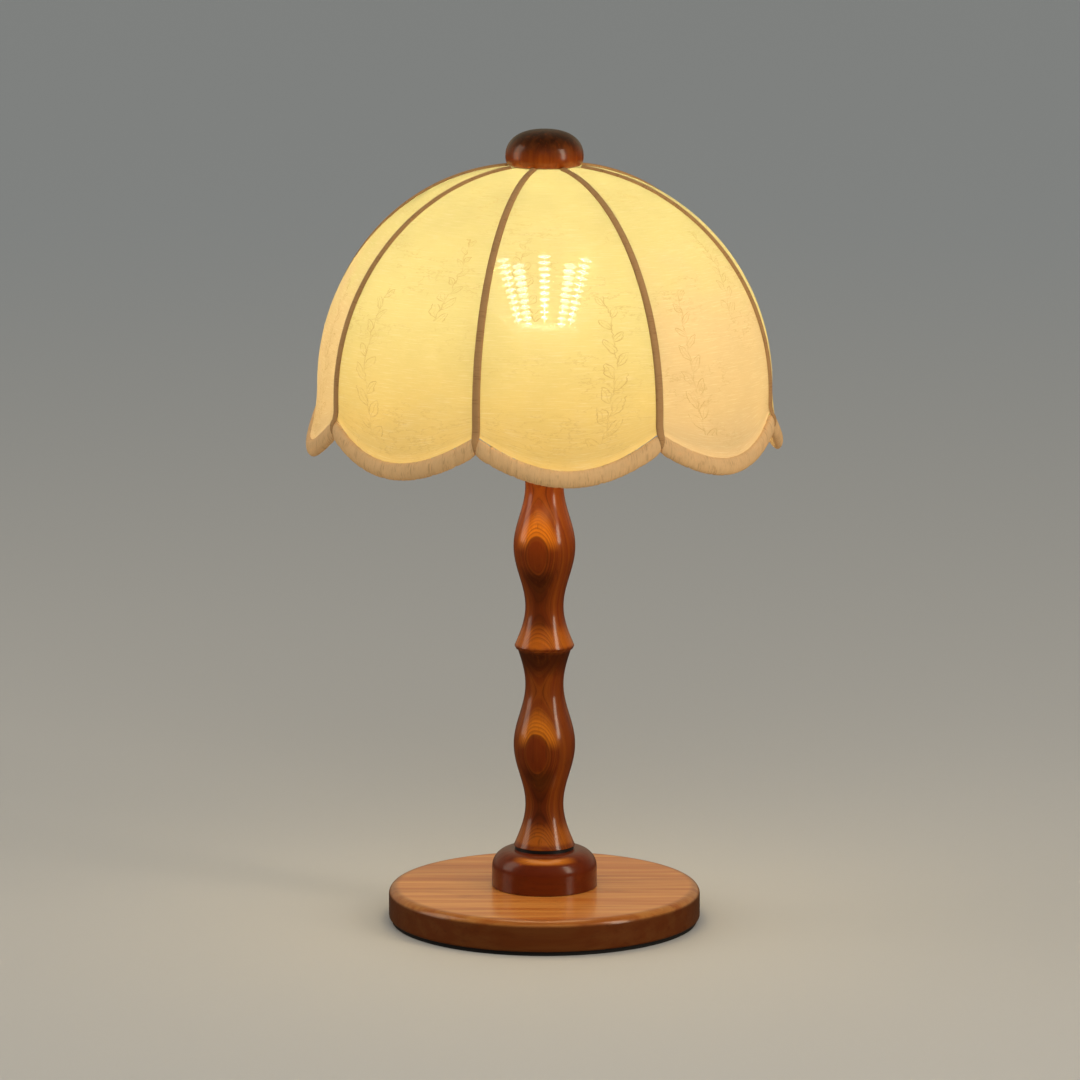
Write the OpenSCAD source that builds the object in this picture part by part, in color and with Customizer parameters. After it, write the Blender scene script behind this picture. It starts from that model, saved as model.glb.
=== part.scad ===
// Wooden table lamp with a turned stem and a scalloped fabric shade.
// Millimetres, +Z up, origin at the middle of the pad's underside. The front faces -Y.

/* [Base] */
// Diameter of the wooden base disc
base_d = 198; // [188:1:240]
// Thickness of the wooden base disc
base_t = 19.9; // [18:0.1:28]
// Rounding of the base disc's upper edge
base_edge_r = 5; // [1:0.5:7]
// Rounding of the base disc's lower edge
base_foot_r = 1.6; // [0.4:0.2:3]
// Thickness of the pad under the base
pad_t = 2.5; // [1:0.1:5]
// Step from the base disc's edge in to the pad's edge
pad_inset = 2; // [0.5:0.5:6]
// Width of the base disc's rim around the hollow under it
base_rim_w = 24; // [20:0.5:28]
// Depth of the hollow under the base disc
hollow_h = 14; // [13:0.5:16]
// Diameter of the steel weight in the hollow
weight_d = 100; // [60:1:110]
// Thickness of the steel weight
weight_t = 5.5; // [3:0.5:6]
// Height of the cord hole's axis above the pad
cord_hole_h = 8; // [6.5:0.5:8.5]
// Diameter of the passage through the cord grommet
cord_bore_d = 7; // [5:0.5:8]
// Wall of the cord grommet
grommet_wall = 1.5; // [1:0.1:2]
// Width of the grommet's outer lip
grommet_lip = 1; // [0.5:0.1:2]

/* [Terminal block] */
// Width of the terminal block
block_w = 18; // [14:1:24]
// Depth of the terminal block
block_l = 11; // [10:0.5:12]
// Height of the terminal block
block_h = 9; // [7:0.5:10]
// Spacing of the block's two ways
block_pitch = 8; // [6:0.5:9]
// Diameter of the screw that holds the block
screw_d = 3; // [2.5:0.1:3.5]
// Depth of that screw in the wood
screw_bite = 4; // [2:0.5:4.5]

/* [Collar] */
// Diameter of the collar on the base
collar_d = 66.8; // [60:0.2:80]
// Height of the collar
collar_h = 24.1; // [18:0.1:32]
// Rounding of the collar's shoulder
collar_round = 12; // [6:0.5:13]
// Thickness of the black washer under the stem
washer_t = 2.2; // [1:0.1:4]
// Step from the stem's foot in to the washer's edge
washer_inset = 0.8; // [0.2:0.1:2]

/* [Stem] */
// Diameter of the stem's foot
foot_d = 39; // [34:0.5:42]
// Diameter of the stem's necks
neck_d = 24.2; // [22:0.2:28]
// Diameter of the stem's swellings
swell_d = 39; // [32:0.5:46]
// Diameter of the lower stem at its top
lower_top_d = 34; // [30:0.5:36]
// Diameter of the lip at the foot of the upper stem
lip_d = 37.8; // [36.5:0.1:42]
// Height of the lip at the foot of the upper stem
lip_h = 2; // [1:0.1:4]
// Diameter of the upper stem at its top
stem_top_d = 34; // [28:0.5:36]
// Height from the foot to the lowest neck
foot_h = 27; // [20:0.5:36]
// Height from a neck to the middle of a swelling
swell_h = 38.5; // [30:0.5:46]
// Height from the lower stem's upper neck to its top
lower_flare_h = 23.2; // [16:0.1:30]
// Height from the upper stem's lip to its lower neck
lip_flare_h = 25; // [18:0.5:32]
// Height from the upper stem's upper neck to its top
top_flare_h = 22; // [16:0.5:30]
// Diameter of the tenons that join the turned pieces
tenon_d = 18; // [15:0.5:20]
// Length of those tenons
tenon_h = 8; // [5:0.5:12]

/* [Threaded tube] */
// Outer diameter of the tube through the stem
tube_d = 10; // [9:0.1:11]
// Inner diameter of that tube
tube_bore = 8; // [7:0.1:8.4]
// Thickness of the nut under the base
nut_h = 3.5; // [2.5:0.1:4]
// Width of that nut across its corners
nut_d = 18; // [16:0.5:22]
// Thickness of the steel washer above that nut
steel_washer_t = 1.2; // [0.8:0.1:1.5]
// Diameter of that steel washer
steel_washer_d = 26; // [22:0.5:34]
// Height of the brass cap on the stem
vase_cap_h = 3; // [2:0.5:6]
// Diameter of an insulated inner lead
lead_d = 1.8; // [1.2:0.1:2]

/* [Harp] */
// Thickness of the saddle's strip
saddle_t = 1.5; // [1:0.1:3]
// Width of the saddle's strip
saddle_w = 12; // [11:0.5:16]
// Spacing of the harp's two feet
harp_foot = 56; // [52:0.5:64]
// Width of the harp at its widest, between wire centres
harp_w = 96; // [92:1:100]
// Height from the saddle to the shade's seat
harp_h = 171.6; // [166:0.1:182]
// Diameter of the harp's wire
harp_wire_d = 3.2; // [2.4:0.1:4]
// Height of the saddle's pins
pin_h = 11; // [8:0.5:13]
// Height at which the harp's legs start to spread
leg_h = 24; // [22:0.5:28]
// Height over which the harp's legs spread
bow_h = 59; // [50:1:66]
// Height of the ferrules that lock the harp
ferrule_h = 20; // [16:0.5:21]
// Wall of those ferrules
ferrule_wall = 1.1; // [0.6:0.1:2]
// Diameter of the harp's seat for the shade
seat_d = 14; // [12:0.5:20]
// Thickness of that seat
seat_t = 3; // [2:0.1:5]
// Diameter of the stud above the seat
stud_d = 6; // [5:0.1:8]
// Length of that stud
stud_h = 13; // [10:0.5:14]

/* [Lampholder] */
// Outer diameter of the lampholder's cap
socket_d = 35; // [34.4:0.1:40]
// Wall of the lampholder's brass pieces
socket_wall = 0.8; // [0.5:0.1:1]
// Height of the cap's hub
hub_h = 4; // [3:0.5:6]
// Wall of the cap's hub around the tube
hub_wall = 3; // [2:0.1:4]
// Height of the cap's bowl
bowl_h = 10; // [8:0.5:14]
// Height of the cap's rim around the shell
rim_h = 4; // [3:0.5:6]
// Height of the lampholder's shell
shell_h = 32; // [30:0.5:38]
// Thickness of the insulating liner
liner_t = 0.6; // [0.4:0.1:0.8]
// Height of the insulating core
core_h = 12; // [11:0.5:14]
// Wall of the threaded shell that takes the bulb
thread_wall = 0.5; // [0.4:0.1:0.7]
// Height of the middle contact
contact_h = 1.8; // [1:0.1:3]
// Diameter of the middle contact
contact_d = 7; // [4:0.5:10]
// Diameter of the switch key's shaft
key_shaft_d = 4; // [3:0.1:5]
// Length of the switch key's grip
key_grip_l = 9; // [7:0.5:12]
// Width of the switch key's grip
key_grip_w = 13; // [10:0.5:14]
// Thickness of the switch key's grip
key_grip_t = 4; // [3:0.1:6]

/* [Bulb] */
// Diameter of the bulb's globe
bulb_d = 80; // [76:1:82]
// Diameter of the bulb's screw cap
bulb_cap_d = 26.2; // [25.6:0.1:26.6]
// Height of the bulb's screw cap
bulb_cap_h = 22; // [20:0.5:24]
// Wall of the bulb's screw cap
bulb_cap_wall = 1; // [0.6:0.1:1.5]
// Height of the insulated foot under the screw cap
bulb_foot_h = 4.5; // [3:0.5:6]
// Height from the screw cap to the middle of the globe
bulb_neck_h = 44; // [38:0.5:50]
// Depth of the globe's neck in the screw cap
bulb_neck_in = 6; // [4:0.5:8]
// Thickness of the glass
glass_t = 1; // [0.6:0.1:1.5]
// Height of the glass stem above the screw cap
mount_h = 20; // [14:0.5:24]
// Number of light filaments
filament_count = 5; // [3:1:8]
// Diameter of a light filament
filament_d = 2.2; // [1.4:0.1:3]
// Height that the filaments rise above the glass stem
filament_h = 43; // [34:0.5:44]
// Radius of the filament ring at its foot
filament_foot_r = 17; // [10:0.5:18]
// Radius of the filament ring at its top
filament_top_r = 28; // [20:0.5:29]

/* [Shade] */
// Number of fabric panels
panel_count = 8; // [6:1:10]
// Turn of the first rib from +X, in degrees
rib_phase = 28.5; // [0:0.5:45]
// Diameter of the shade over its piping
shade_d = 294.2; // [280:0.2:310]
// Radius of the arc that the ribs follow
dome_r = 138.1; // [130:0.1:139.5]
// Height from the widest place down to a notch of the hem
skirt_h = 19; // [15:0.5:30]
// Drop of a scallop below the notches
scallop_drop = 19.3; // [8:0.1:28]
// How far a panel bulges from flat, 0, to round, 1
panel_bulge = 0.72; // [0.4:0.01:1]
// Thickness of the fabric
fabric_t = 0.7; // [0.4:0.1:1.2]
// Width of the piping over a seam
piping_w = 5; // [4:0.1:7]
// Height of the piping over a seam
piping_t = 1.6; // [1.2:0.1:2.4]
// Height of the rolled binding on the hem
binding_h = 10.8; // [8:0.1:13]
// Thickness of the rolled binding
binding_t = 6.4; // [5.6:0.1:9]
// How far the binding's middle stands out from the fabric's
binding_out = 1.5; // [0:0.1:2.5]
// Diameter of the wires in the shade's frame
wire_d = 3; // [2:0.1:3.4]
// Diameter of the shade's top plate
plate_d = 39; // [34:0.5:44]
// Thickness of the shade's top plate
plate_t = 2; // [1:0.1:3]

/* [Finial] */
// Diameter of the wooden knob
finial_d = 48.8; // [46:0.2:60]
// Height of the wooden knob
finial_h = 22.8; // [18:0.1:30]
// Height of the knob's widest place above its underside
finial_wide_h = 5.6; // [4:0.1:8]
// Diameter of the knob's underside
finial_foot_d = 42.8; // [40:0.2:45.8]
// Squareness of the knob's shoulder, 2 is an ellipse
finial_square = 2.35; // [2:0.05:3]
// Diameter of the brass insert in the knob
insert_d = 12; // [10.5:0.1:16]
// Diameter of the insert's flange
insert_flange_d = 20; // [17:0.5:30]

/* [Clearances] */
// Clearance between pieces that are fixed to each other
fit = 0.2; // [0.1:0.05:0.3]
// Radial clearance of a turning fit
run_fit = 0.06; // [0.02:0.01:0.1]
// Clearance between the shade's layers
lay = 0.1; // [0.05:0.05:0.2]
// Clearance between the bulb's cap and the thread around it
thread_gap = 0.3; // [0.2:0.05:0.4]
// Angle left free beside each rib, in degrees
seam_gap = 0.15; // [0.1:0.05:0.3]

/* [Hidden] */
$fn = 96;
SWELL_STEPS = 10;
FLARE_STEPS = 8;
BOWL_STEPS = 8;
GLOBE_STEPS = 14;
PANEL_COLUMNS = 8;
DOME_ROWS = 14;
SKIRT_ROWS = 3;
HEM_STEPS = 10;
HEM_SIDES = 10;
LEAD_SIDES = 8;
CURVE_STEPS = 6;
EPS = 0.01;
CUT = 1;
// A stretch that runs on into its neighbour is this much slimmer, and laps it by this length
SLIM = 0.02;
LAP = 0.4;

// Heights of the seats, from the floor up
z_base = pad_t;
z_ceiling = z_base + hollow_h;
z_collar = z_base + base_t;
z_washer = z_collar + collar_h;
z_lower = z_washer + washer_t;
z_lower_neck = z_lower + foot_h;
z_lower_swell = z_lower_neck + swell_h;
z_lower_neck2 = z_lower_swell + swell_h;
z_upper = z_lower_neck2 + lower_flare_h;
z_lip = z_upper + lip_h;
z_upper_neck = z_lip + lip_flare_h;
z_upper_swell = z_upper_neck + swell_h;
z_upper_neck2 = z_upper_swell + swell_h;
z_stem_top = z_upper_neck2 + top_flare_h;
z_saddle = z_stem_top + vase_cap_h;
z_holder = z_saddle + saddle_t;
z_seat = z_holder + harp_h;

// Hollow of the base: the weight hangs from its ceiling, with the washer and nut below
hollow_d = base_d - 2 * base_rim_w;
z_weight = z_ceiling - weight_t;
z_steel_washer = z_weight - steel_washer_t;
z_nut = z_steel_washer - nut_h;
tube_tail = 0.3;
z_tube = z_nut - tube_tail;
tube_hole_r = tube_d / 2 + fit;
tenon_hole_r = tenon_d / 2 + fit;
cord_z = z_base + cord_hole_h;
grommet_r = cord_bore_d / 2 + grommet_wall;
block_back = hollow_d / 2 - 4;
block_front = block_back - block_l;
block_port_z = z_ceiling - block_h / 2;
lead_hole_r = lead_d / 2 + fit;
port_depth = 4;

// Lampholder
z_tube_top = z_holder + hub_h + socket_wall;
z_shell = z_holder + hub_h + bowl_h + fit;
z_shell_top = z_shell + shell_h;
z_core_top = z_shell + core_h;
z_key = z_shell + core_h / 2;
z_bulb = z_core_top + contact_h;
shell_r = socket_d / 2 - socket_wall - fit;
liner_r = shell_r - socket_wall - fit;
core_r = liner_r - liner_t - fit;
thread_r = bulb_cap_d / 2 + thread_gap;
key_hole_r = key_shaft_d / 2 + 1;
key_stand = 2.5;
core_port = 7;

// Bulb
z_bulb_cap = z_bulb + bulb_foot_h;
z_bulb_rim = z_bulb_cap + bulb_cap_h;
z_globe = z_bulb_rim + bulb_neck_h;
z_mount = z_bulb_rim + mount_h;
neck_glass_r = bulb_cap_d / 2 - bulb_cap_wall - fit;
crown_t = 1.2;

// Harp
harp_r = harp_wire_d / 2;
bow_x = (harp_w - harp_foot) / 2;
bow_angle = 2 * atan(bow_x / bow_h);
bow_r = bow_h / (2 * sin(bow_angle));
z_leg = z_holder + leg_h;
z_bow = z_leg + bow_h;
z_arch = z_seat - seat_t - harp_r - harp_w / 2;
ferrule_z = z_holder + 1;

// Shade: layers from the piping inwards, all on arcs about the same centre in each rib's plane
dome_out = shade_d / 2 - dome_r;
fabric_r = dome_r - piping_t - lay;
// Depth by which the fabric's straight rows lie inside their arc
row_sag = fabric_r * (1 - cos(45 / DOME_ROWS));
wire_r = fabric_r - fabric_t - row_sag - lay - wire_d / 2;
plate_r = plate_d / 2;
z_wide = z_seat + plate_t / 2 - sqrt(pow(wire_r, 2) - pow(plate_r + fit - dome_out, 2));
z_notch = z_wide - skirt_h;
rim_r = dome_out + fabric_r - fabric_t / 2 + binding_out;
panel_step = 360 / panel_count;
half_step = panel_step / 2;
// The knob's seat clears the fabric's top edge, rounded up so that it meets the flange below it exactly
z_fabric_top = z_wide + sqrt(pow(fabric_r, 2) - pow(plate_r - dome_out, 2));
z_finial = ceil(20 * (z_fabric_top + fit + lay)) / 20;
z_plate_top = z_seat + plate_t;
stud_r = stud_d / 2;
z_stud_top = z_seat + stud_h;
insert_top = z_stud_top + 2;

// Outlines as points [radius, height]

// From one upright tangent to another, as between a neck and a swelling
function swell_points(r0, z0, r1, z1) =
    [for (i = [0:SWELL_STEPS]) let (t = i / SWELL_STEPS)
        [r0 + (r1 - r0) * (1 - cos(180 * t)) / 2, z0 + (z1 - z0) * t]];

// From an upright neck to an edge that flares
function flare_points(r0, z0, r1, z1) =
    [for (i = [0:FLARE_STEPS]) let (t = i / FLARE_STEPS)
        [r0 + (r1 - r0) * (1 - cos(90 * t)), z0 + (z1 - z0) * t]];

function reversed(list) = [for (i = [len(list) - 1:-1:0]) list[i]];

// Round bowl that leaves its hub flat and ends upright
function bowl_points(r0, z0, r1, z1) =
    [for (i = [0:BOWL_STEPS]) let (t = i / BOWL_STEPS)
        [r0 + (r1 - r0) * sin(90 * t), z0 + (z1 - z0) * (1 - cos(90 * t))]];

// Glass outline, with wall as its distance in from the outside
function globe_points(wall) = concat(
    [[neck_glass_r - wall, z_bulb_rim - bulb_neck_in]],
    swell_points(neck_glass_r - wall, z_bulb_rim, bulb_d / 2 - wall, z_globe),
    [for (i = [1:GLOBE_STEPS]) let (a = 90 * i / GLOBE_STEPS)
        [(bulb_d / 2 - wall) * cos(a), z_globe + (bulb_d / 2 - wall) * sin(a)]]);

// Knob: rounded underside edge, then a squared shoulder up to the top
function knob_points() = let (
        foot_r = finial_foot_d / 2,
        wide_r = finial_d / 2,
        z_wide_knob = z_finial + finial_wide_h,
        rise = finial_h - finial_wide_h)
    concat(
        [for (i = [0:FLARE_STEPS]) let (a = 90 * i / FLARE_STEPS)
            [foot_r + (wide_r - foot_r) * sin(a), z_wide_knob - finial_wide_h * cos(a)]],
        [for (i = [1:2 * FLARE_STEPS]) let (a = 45 * i / FLARE_STEPS)
            [wide_r * pow(max(cos(a), 0), 2 / finial_square),
             z_wide_knob + rise * pow(sin(a), 2 / finial_square)]]);

// Scalloped hem: u runs from -1 at one rib to 1 at the next
function arch(u) = (cos(90 * u) + 1 - u * u) / 2;
function arch_slope(u) = -(PI / 2 * sin(90 * u) + 2 * u) / 2;
function hem_z(u) = z_notch - scallop_drop * arch(u);
function hem_lean(u) = atan(scallop_drop * arch_slope(u) / (rim_r * half_step * PI / 180));
function hem_half_h(u, h) = h / 2 / cos(hem_lean(u));

// Height at which the ribs and their piping end, above the binding
z_rib_end = z_notch + hem_half_h(1, binding_h) + lay;

// Ring of the hem in the upright plane at u, of radial size t and square height h
function hem_ring(mid, u, t, h) = let (phi = mid + half_step * u)
    [for (s = [0:HEM_SIDES - 1]) let (
            a = 360 * s / HEM_SIDES,
            r = rim_r + t / 2 * cos(a),
            z = hem_z(u) - hem_half_h(u, h) * sin(a))
        [r * cos(phi), r * sin(phi), z]];

// Fabric: share of the round radius at u, for a bulge from flat to round
function round_share(u, bulge) =
    bulge + (1 - bulge) * cos(half_step) / cos(half_step * u);

// Point of a panel: row counts down from the top, wall is the distance in from the outside
function panel_point(mid, u, row, wall) = let (
        phi = mid + (half_step - seam_gap) * u,
        top = acos((plate_r + fit - dome_out) / fabric_r),
        t = (row - DOME_ROWS) / SKIRT_ROWS,
        ease = pow(max(t, 0), 2),
        edge = hem_z(u) + hem_half_h(u, binding_h) + lay,
        a = top * (1 - row / DOME_ROWS),
        rib = row <= DOME_ROWS ? dome_out + (fabric_r - wall) * cos(a) : dome_out + fabric_r - wall,
        z = row <= DOME_ROWS ? z_wide + (fabric_r - wall) * sin(a) : z_wide + (edge - z_wide) * t,
        bulge = panel_bulge + (1 - panel_bulge) * ease,
        r = rib * round_share(u, bulge) + binding_out * ease * pow(1 - u * u, 2))
    [r * cos(phi), r * sin(phi), z];

// Faces of meshes, wound as seen from outside

// Slab of two grids, each of columns by rows: the outside first, then the inside
function slab_faces(columns, rows) = let (w = columns + 1, m = w * (rows + 1)) concat(
    [for (j = [0:rows - 1], i = [0:columns - 1]) each
        let (a = j * w + i, b = a + 1, d = a + w, c = d + 1)
        [[a, b, c], [a, c, d], [a + m, c + m, b + m], [a + m, d + m, c + m]]],
    [for (i = [0:columns - 1]) each
        let (a = i, b = i + 1, d = rows * w + i, c = d + 1)
        [[b, a, a + m], [b, a + m, b + m], [d, c, c + m], [d, c + m, d + m]]],
    [for (j = [0:rows - 1]) each
        let (a = j * w, d = a + w, b = a + columns, c = b + w)
        [[a, d, d + m], [a, d + m, a + m], [c, b, b + m], [c, b + m, c + m]]]);

// Skin of a tube of rings; a closed one joins its last ring to its first
function skin_faces(rings, sides, closed = false) =
    [for (j = [0:rings - (closed ? 1 : 2)], s = [0:sides - 1]) each
        let (d = j * sides + s, c = j * sides + (s + 1) % sides,
             a = ((j + 1) % rings) * sides + s, b = ((j + 1) % rings) * sides + (s + 1) % sides)
        [[a, b, c], [a, c, d]]];

// Solid tube with flat ends
function rod_faces(rings, sides) = let (last = (rings - 1) * sides) concat(
    skin_faces(rings, sides),
    [for (s = [1:sides - 2]) each [[0, s, s + 1], [last, last + s + 1, last + s]]]);

// Hollow tube with ring-shaped ends: the outer rings first, then the inner ones
function pipe_faces(rings, sides) = let (m = rings * sides, last = (rings - 1) * sides) concat(
    skin_faces(rings, sides),
    [for (f = skin_faces(rings, sides)) [f[0] + m, f[2] + m, f[1] + m]],
    [for (s = [0:sides - 1]) each let (n = (s + 1) % sides)
        [[s, n, n + m], [s, n + m, s + m],
         [last + n, last + s, last + s + m], [last + n, last + s + m, last + n + m]]]);

function joined(lists) = [for (list = lists) each list];

// Route of an inner lead on one side, -1 or 1: block, base, tube and lampholder
function bezier(p0, p1, p2, p3) =
    [for (i = [1:CURVE_STEPS]) let (t = i / CURVE_STEPS, s = 1 - t)
        s * s * s * p0 + 3 * s * s * t * p1 + 3 * s * t * t * p2 + t * t * t * p3];

function lead_route(side) = let (
        across = side * 1.4,
        lead_z = (z_base + z_tube) / 2,
        turn = 3.2,
        reach = 6,
        handle = 0.55 * turn,
        weight_clear = weight_d / 2 + reach / 2,
        port = [side * block_pitch / 2, block_front, block_port_z],
        start = port + [0, port_depth - fit, 0],
        dip = [across, min(weight_clear, block_front - reach) - reach, lead_z],
        foot = [across, turn, lead_z],
        rise = [across, 0, lead_z + turn],
        top = [across, 0, z_tube_top],
        core = [side * core_port, 0, z_shell])
    concat(
        [start, port],
        bezier(port, port - [0, reach, 0], dip + [0, reach, 0], dip),
        [foot],
        bezier(foot, foot - [0, handle, 0], rise - [0, 0, handle], rise),
        [top],
        bezier(top, top + [0, 0, reach / 2], core - [0, 0, reach / 2], core),
        [core + [0, 0, port_depth - fit]]);

function unit(v) = v / norm(v);

// Rings around a route, squared to it and kept level with X
function route_rings(route, r) =
    [for (i = [0:len(route) - 1]) let (
            t = unit(route[min(i + 1, len(route) - 1)] - route[max(i - 1, 0)]),
            across = unit([1, 0, 0] - t[0] * t),
            up = cross(t, across))
        [for (s = [0:LEAD_SIDES - 1]) let (a = 360 * s / LEAD_SIDES)
            route[i] + r * (cos(a) * across + sin(a) * up)]];

// Shared shapes

module ring(outer_r, inner_r, z0, z1) {
    translate([0, 0, z0])
        difference() {
            cylinder(r = outer_r, h = z1 - z0);
            translate([0, 0, -CUT]) cylinder(r = inner_r, h = z1 - z0 + 2 * CUT);
        }
}

module hole(r, z0, z1) {
    translate([0, 0, z0]) cylinder(r = r, h = z1 - z0);
}

// Cylinder along +Y from y0 to y1 at height z
module cross_rod(r, y0, y1, z, x = 0) {
    translate([x, y0, z]) rotate([-90, 0, 0]) cylinder(r = r, h = y1 - y0);
}

module turned(points) {
    rotate_extrude() polygon(points);
}

// Children are an outline across a rib, swept from angle top over the dome and down the skirt to z_end.
// They make themselves slimmer by $slim.
module along_rib(k, top, z_end) {
    rotate([0, 0, rib_phase + (k - 1) * panel_step])
        translate([dome_out, 0, 0])
            union() {
                translate([0, 0, z_wide]) rotate([90, 0, 0]) rotate_extrude(angle = top)
                    let ($slim = 0) children();
                translate([0, 0, z_end]) linear_extrude(height = z_wide + LAP - z_end)
                    let ($slim = SLIM) children();
            }
}

// Base

module base_pad() {
    color("#16130f") hole(base_d / 2 - pad_inset, 0, pad_t);
}

module base_weight() {
    color("#70706c") ring(weight_d / 2, tube_hole_r, z_weight, z_ceiling);
}

module base_profile() {
    r = base_d / 2;
    z_top = z_collar;
    union() {
        translate([0, z_base]) square([r - base_edge_r, base_t]);
        translate([0, z_base + base_foot_r]) square([r, base_t - base_edge_r - base_foot_r]);
        translate([r - base_edge_r, z_top - base_edge_r]) circle(r = base_edge_r);
        translate([r - base_foot_r, z_base + base_foot_r]) circle(r = base_foot_r);
        translate([r - base_edge_r - EPS, z_base]) square([base_edge_r - base_foot_r + EPS, base_edge_r]);
    }
}

module base_disc() {
    color("#9a5a2a")
        difference() {
            rotate_extrude() base_profile();
            hole(hollow_d / 2, z_base - CUT, z_ceiling);
            hole(tube_hole_r, z_ceiling - CUT, z_collar + CUT);
            cross_rod(grommet_r, 0, base_d / 2 + CUT, cord_z);
            hole_at_screw(screw_d / 2, z_ceiling - CUT, z_ceiling + screw_bite + fit);
        }
}

module hole_at_screw(r, z0, z1) {
    translate([0, (block_front + block_back) / 2, 0]) hole(r, z0, z1);
}

module cord_grommet() {
    color("#1c1916")
        difference() {
            union() {
                cross_rod(grommet_r, hollow_d / 2, base_d / 2, cord_z);
                cross_rod(grommet_r + grommet_lip, base_d / 2, base_d / 2 + grommet_wall, cord_z);
            }
            cross_rod(cord_bore_d / 2, hollow_d / 2 - CUT, base_d / 2 + grommet_wall + CUT, cord_z);
        }
}

module terminal_block() {
    color("#e8e4d8")
        difference() {
            translate([-block_w / 2, block_front, z_ceiling - block_h]) cube([block_w, block_l, block_h]);
            for (side = [-1, 1])
                cross_rod(lead_hole_r, block_front - CUT, block_front + port_depth, block_port_z,
                          side * block_pitch / 2);
            hole_at_screw(screw_d / 2 + fit, z_ceiling - block_h - CUT, z_ceiling + CUT);
        }
}

module block_screw() {
    head_h = 1.2;
    color("#b9b9b4") {
        hole_at_screw(screw_d / 2, z_ceiling - block_h, z_ceiling + screw_bite);
        hole_at_screw(screw_d, z_ceiling - block_h - head_h, z_ceiling - block_h);
    }
}

// Collar and stem

module collar() {
    r = collar_d / 2;
    color("#7a3f18")
        difference() {
            rotate_extrude() {
                translate([0, z_collar]) square([r, collar_h - collar_round]);
                translate([0, z_collar]) square([r - collar_round, collar_h]);
                translate([r - collar_round, z_washer - collar_round])
                    intersection() {
                        circle(r = collar_round);
                        square(collar_round);
                    }
            }
            hole(tube_hole_r, z_collar - CUT, z_washer + CUT);
            hole(tenon_hole_r, z_washer - tenon_h - fit, z_washer + CUT);
        }
}

module stem_washer() {
    color("#14110e") ring(foot_d / 2 - washer_inset, tenon_hole_r, z_washer, z_lower);
}

module lower_stem() {
    color("#8a4a1c")
        turned(concat(
            [[tube_hole_r, z_washer - tenon_h], [tenon_d / 2, z_washer - tenon_h], [tenon_d / 2, z_lower]],
            reversed(flare_points(neck_d / 2, z_lower_neck, foot_d / 2, z_lower)),
            swell_points(neck_d / 2, z_lower_neck, swell_d / 2, z_lower_swell),
            swell_points(swell_d / 2, z_lower_swell, neck_d / 2, z_lower_neck2),
            flare_points(neck_d / 2, z_lower_neck2, lower_top_d / 2, z_upper),
            [[tenon_d / 2, z_upper], [tenon_d / 2, z_upper + tenon_h], [tube_hole_r, z_upper + tenon_h]]));
}

module upper_stem() {
    lip_foot_r = lip_d / 2 - lip_h / 2;
    color("#8a4a1c")
        difference() {
            turned(concat(
                [[tube_hole_r, z_upper], [lip_foot_r, z_upper]],
                reversed(flare_points(neck_d / 2, z_upper_neck, lip_d / 2, z_lip)),
                swell_points(neck_d / 2, z_upper_neck, swell_d / 2, z_upper_swell),
                swell_points(swell_d / 2, z_upper_swell, neck_d / 2, z_upper_neck2),
                flare_points(neck_d / 2, z_upper_neck2, stem_top_d / 2, z_stem_top),
                [[tube_hole_r, z_stem_top]]));
            hole(tenon_hole_r, z_upper - CUT, z_upper + tenon_h + fit);
        }
}

module threaded_tube() {
    color("#c2c0b8") ring(tube_d / 2, tube_bore / 2, z_tube, z_tube_top);
}

module tube_washer() {
    color("#b4b4ae") ring(steel_washer_d / 2, tube_hole_r, z_steel_washer, z_weight);
}

module tube_nut() {
    color("#b8902c")
        difference() {
            translate([0, 0, z_nut]) cylinder(d = nut_d, h = nut_h, $fn = 6);
            hole(tube_d / 2 + fit / 2, z_nut - CUT, z_steel_washer + CUT);
        }
}

module vase_cap() {
    plate_h = vase_cap_h / 2;
    color("#c49a3c") {
        ring(stem_top_d / 2 - 1, tube_hole_r, z_stem_top, z_stem_top + plate_h);
        ring(saddle_w, tube_hole_r, z_stem_top + plate_h, z_saddle);
    }
}

module inner_leads() {
    color("#d8d2c0")
        for (side = [-1, 1]) {
            rings = route_rings(lead_route(side), lead_d / 2);
            polyhedron(points = joined(rings), faces = rod_faces(len(rings), LEAD_SIDES), convexity = 6);
        }
}

// Harp

module harp_saddle() {
    color("#c8a24a")
        difference() {
            union() {
                translate([-harp_foot / 2, -saddle_w / 2, z_saddle]) cube([harp_foot, saddle_w, saddle_t]);
                for (side = [-1, 1])
                    translate([side * harp_foot / 2, 0, z_saddle]) {
                        cylinder(d = saddle_w, h = saddle_t);
                        cylinder(r = harp_r, h = saddle_t + pin_h);
                    }
            }
            hole(tube_hole_r, z_saddle - CUT, z_holder + CUT);
        }
}

// Part of a wire ring in the X-Z plane, from angle a0 over sweep, about x and z
module wire_arc(x, z, bend_r, a0, sweep, r) {
    translate([x, 0, z]) rotate([90, 0, 0]) rotate([0, 0, a0])
        rotate_extrude(angle = sweep) translate([bend_r, 0]) circle(r = r);
}

module harp_leg() {
    lap_angle = LAP / bow_r * 180 / PI;
    translate([harp_foot / 2, 0, 0]) hole(harp_r - SLIM, z_holder + pin_h + fit, z_leg + LAP);
    wire_arc(harp_foot / 2 + bow_r, z_leg, bow_r, 180 - bow_angle, bow_angle, harp_r);
    wire_arc(harp_w / 2 - bow_r, z_bow, bow_r, -bow_angle - lap_angle, bow_angle + lap_angle, harp_r - SLIM);
    translate([harp_w / 2, 0, 0]) hole(harp_r, z_bow - LAP, z_arch + LAP);
}

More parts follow.
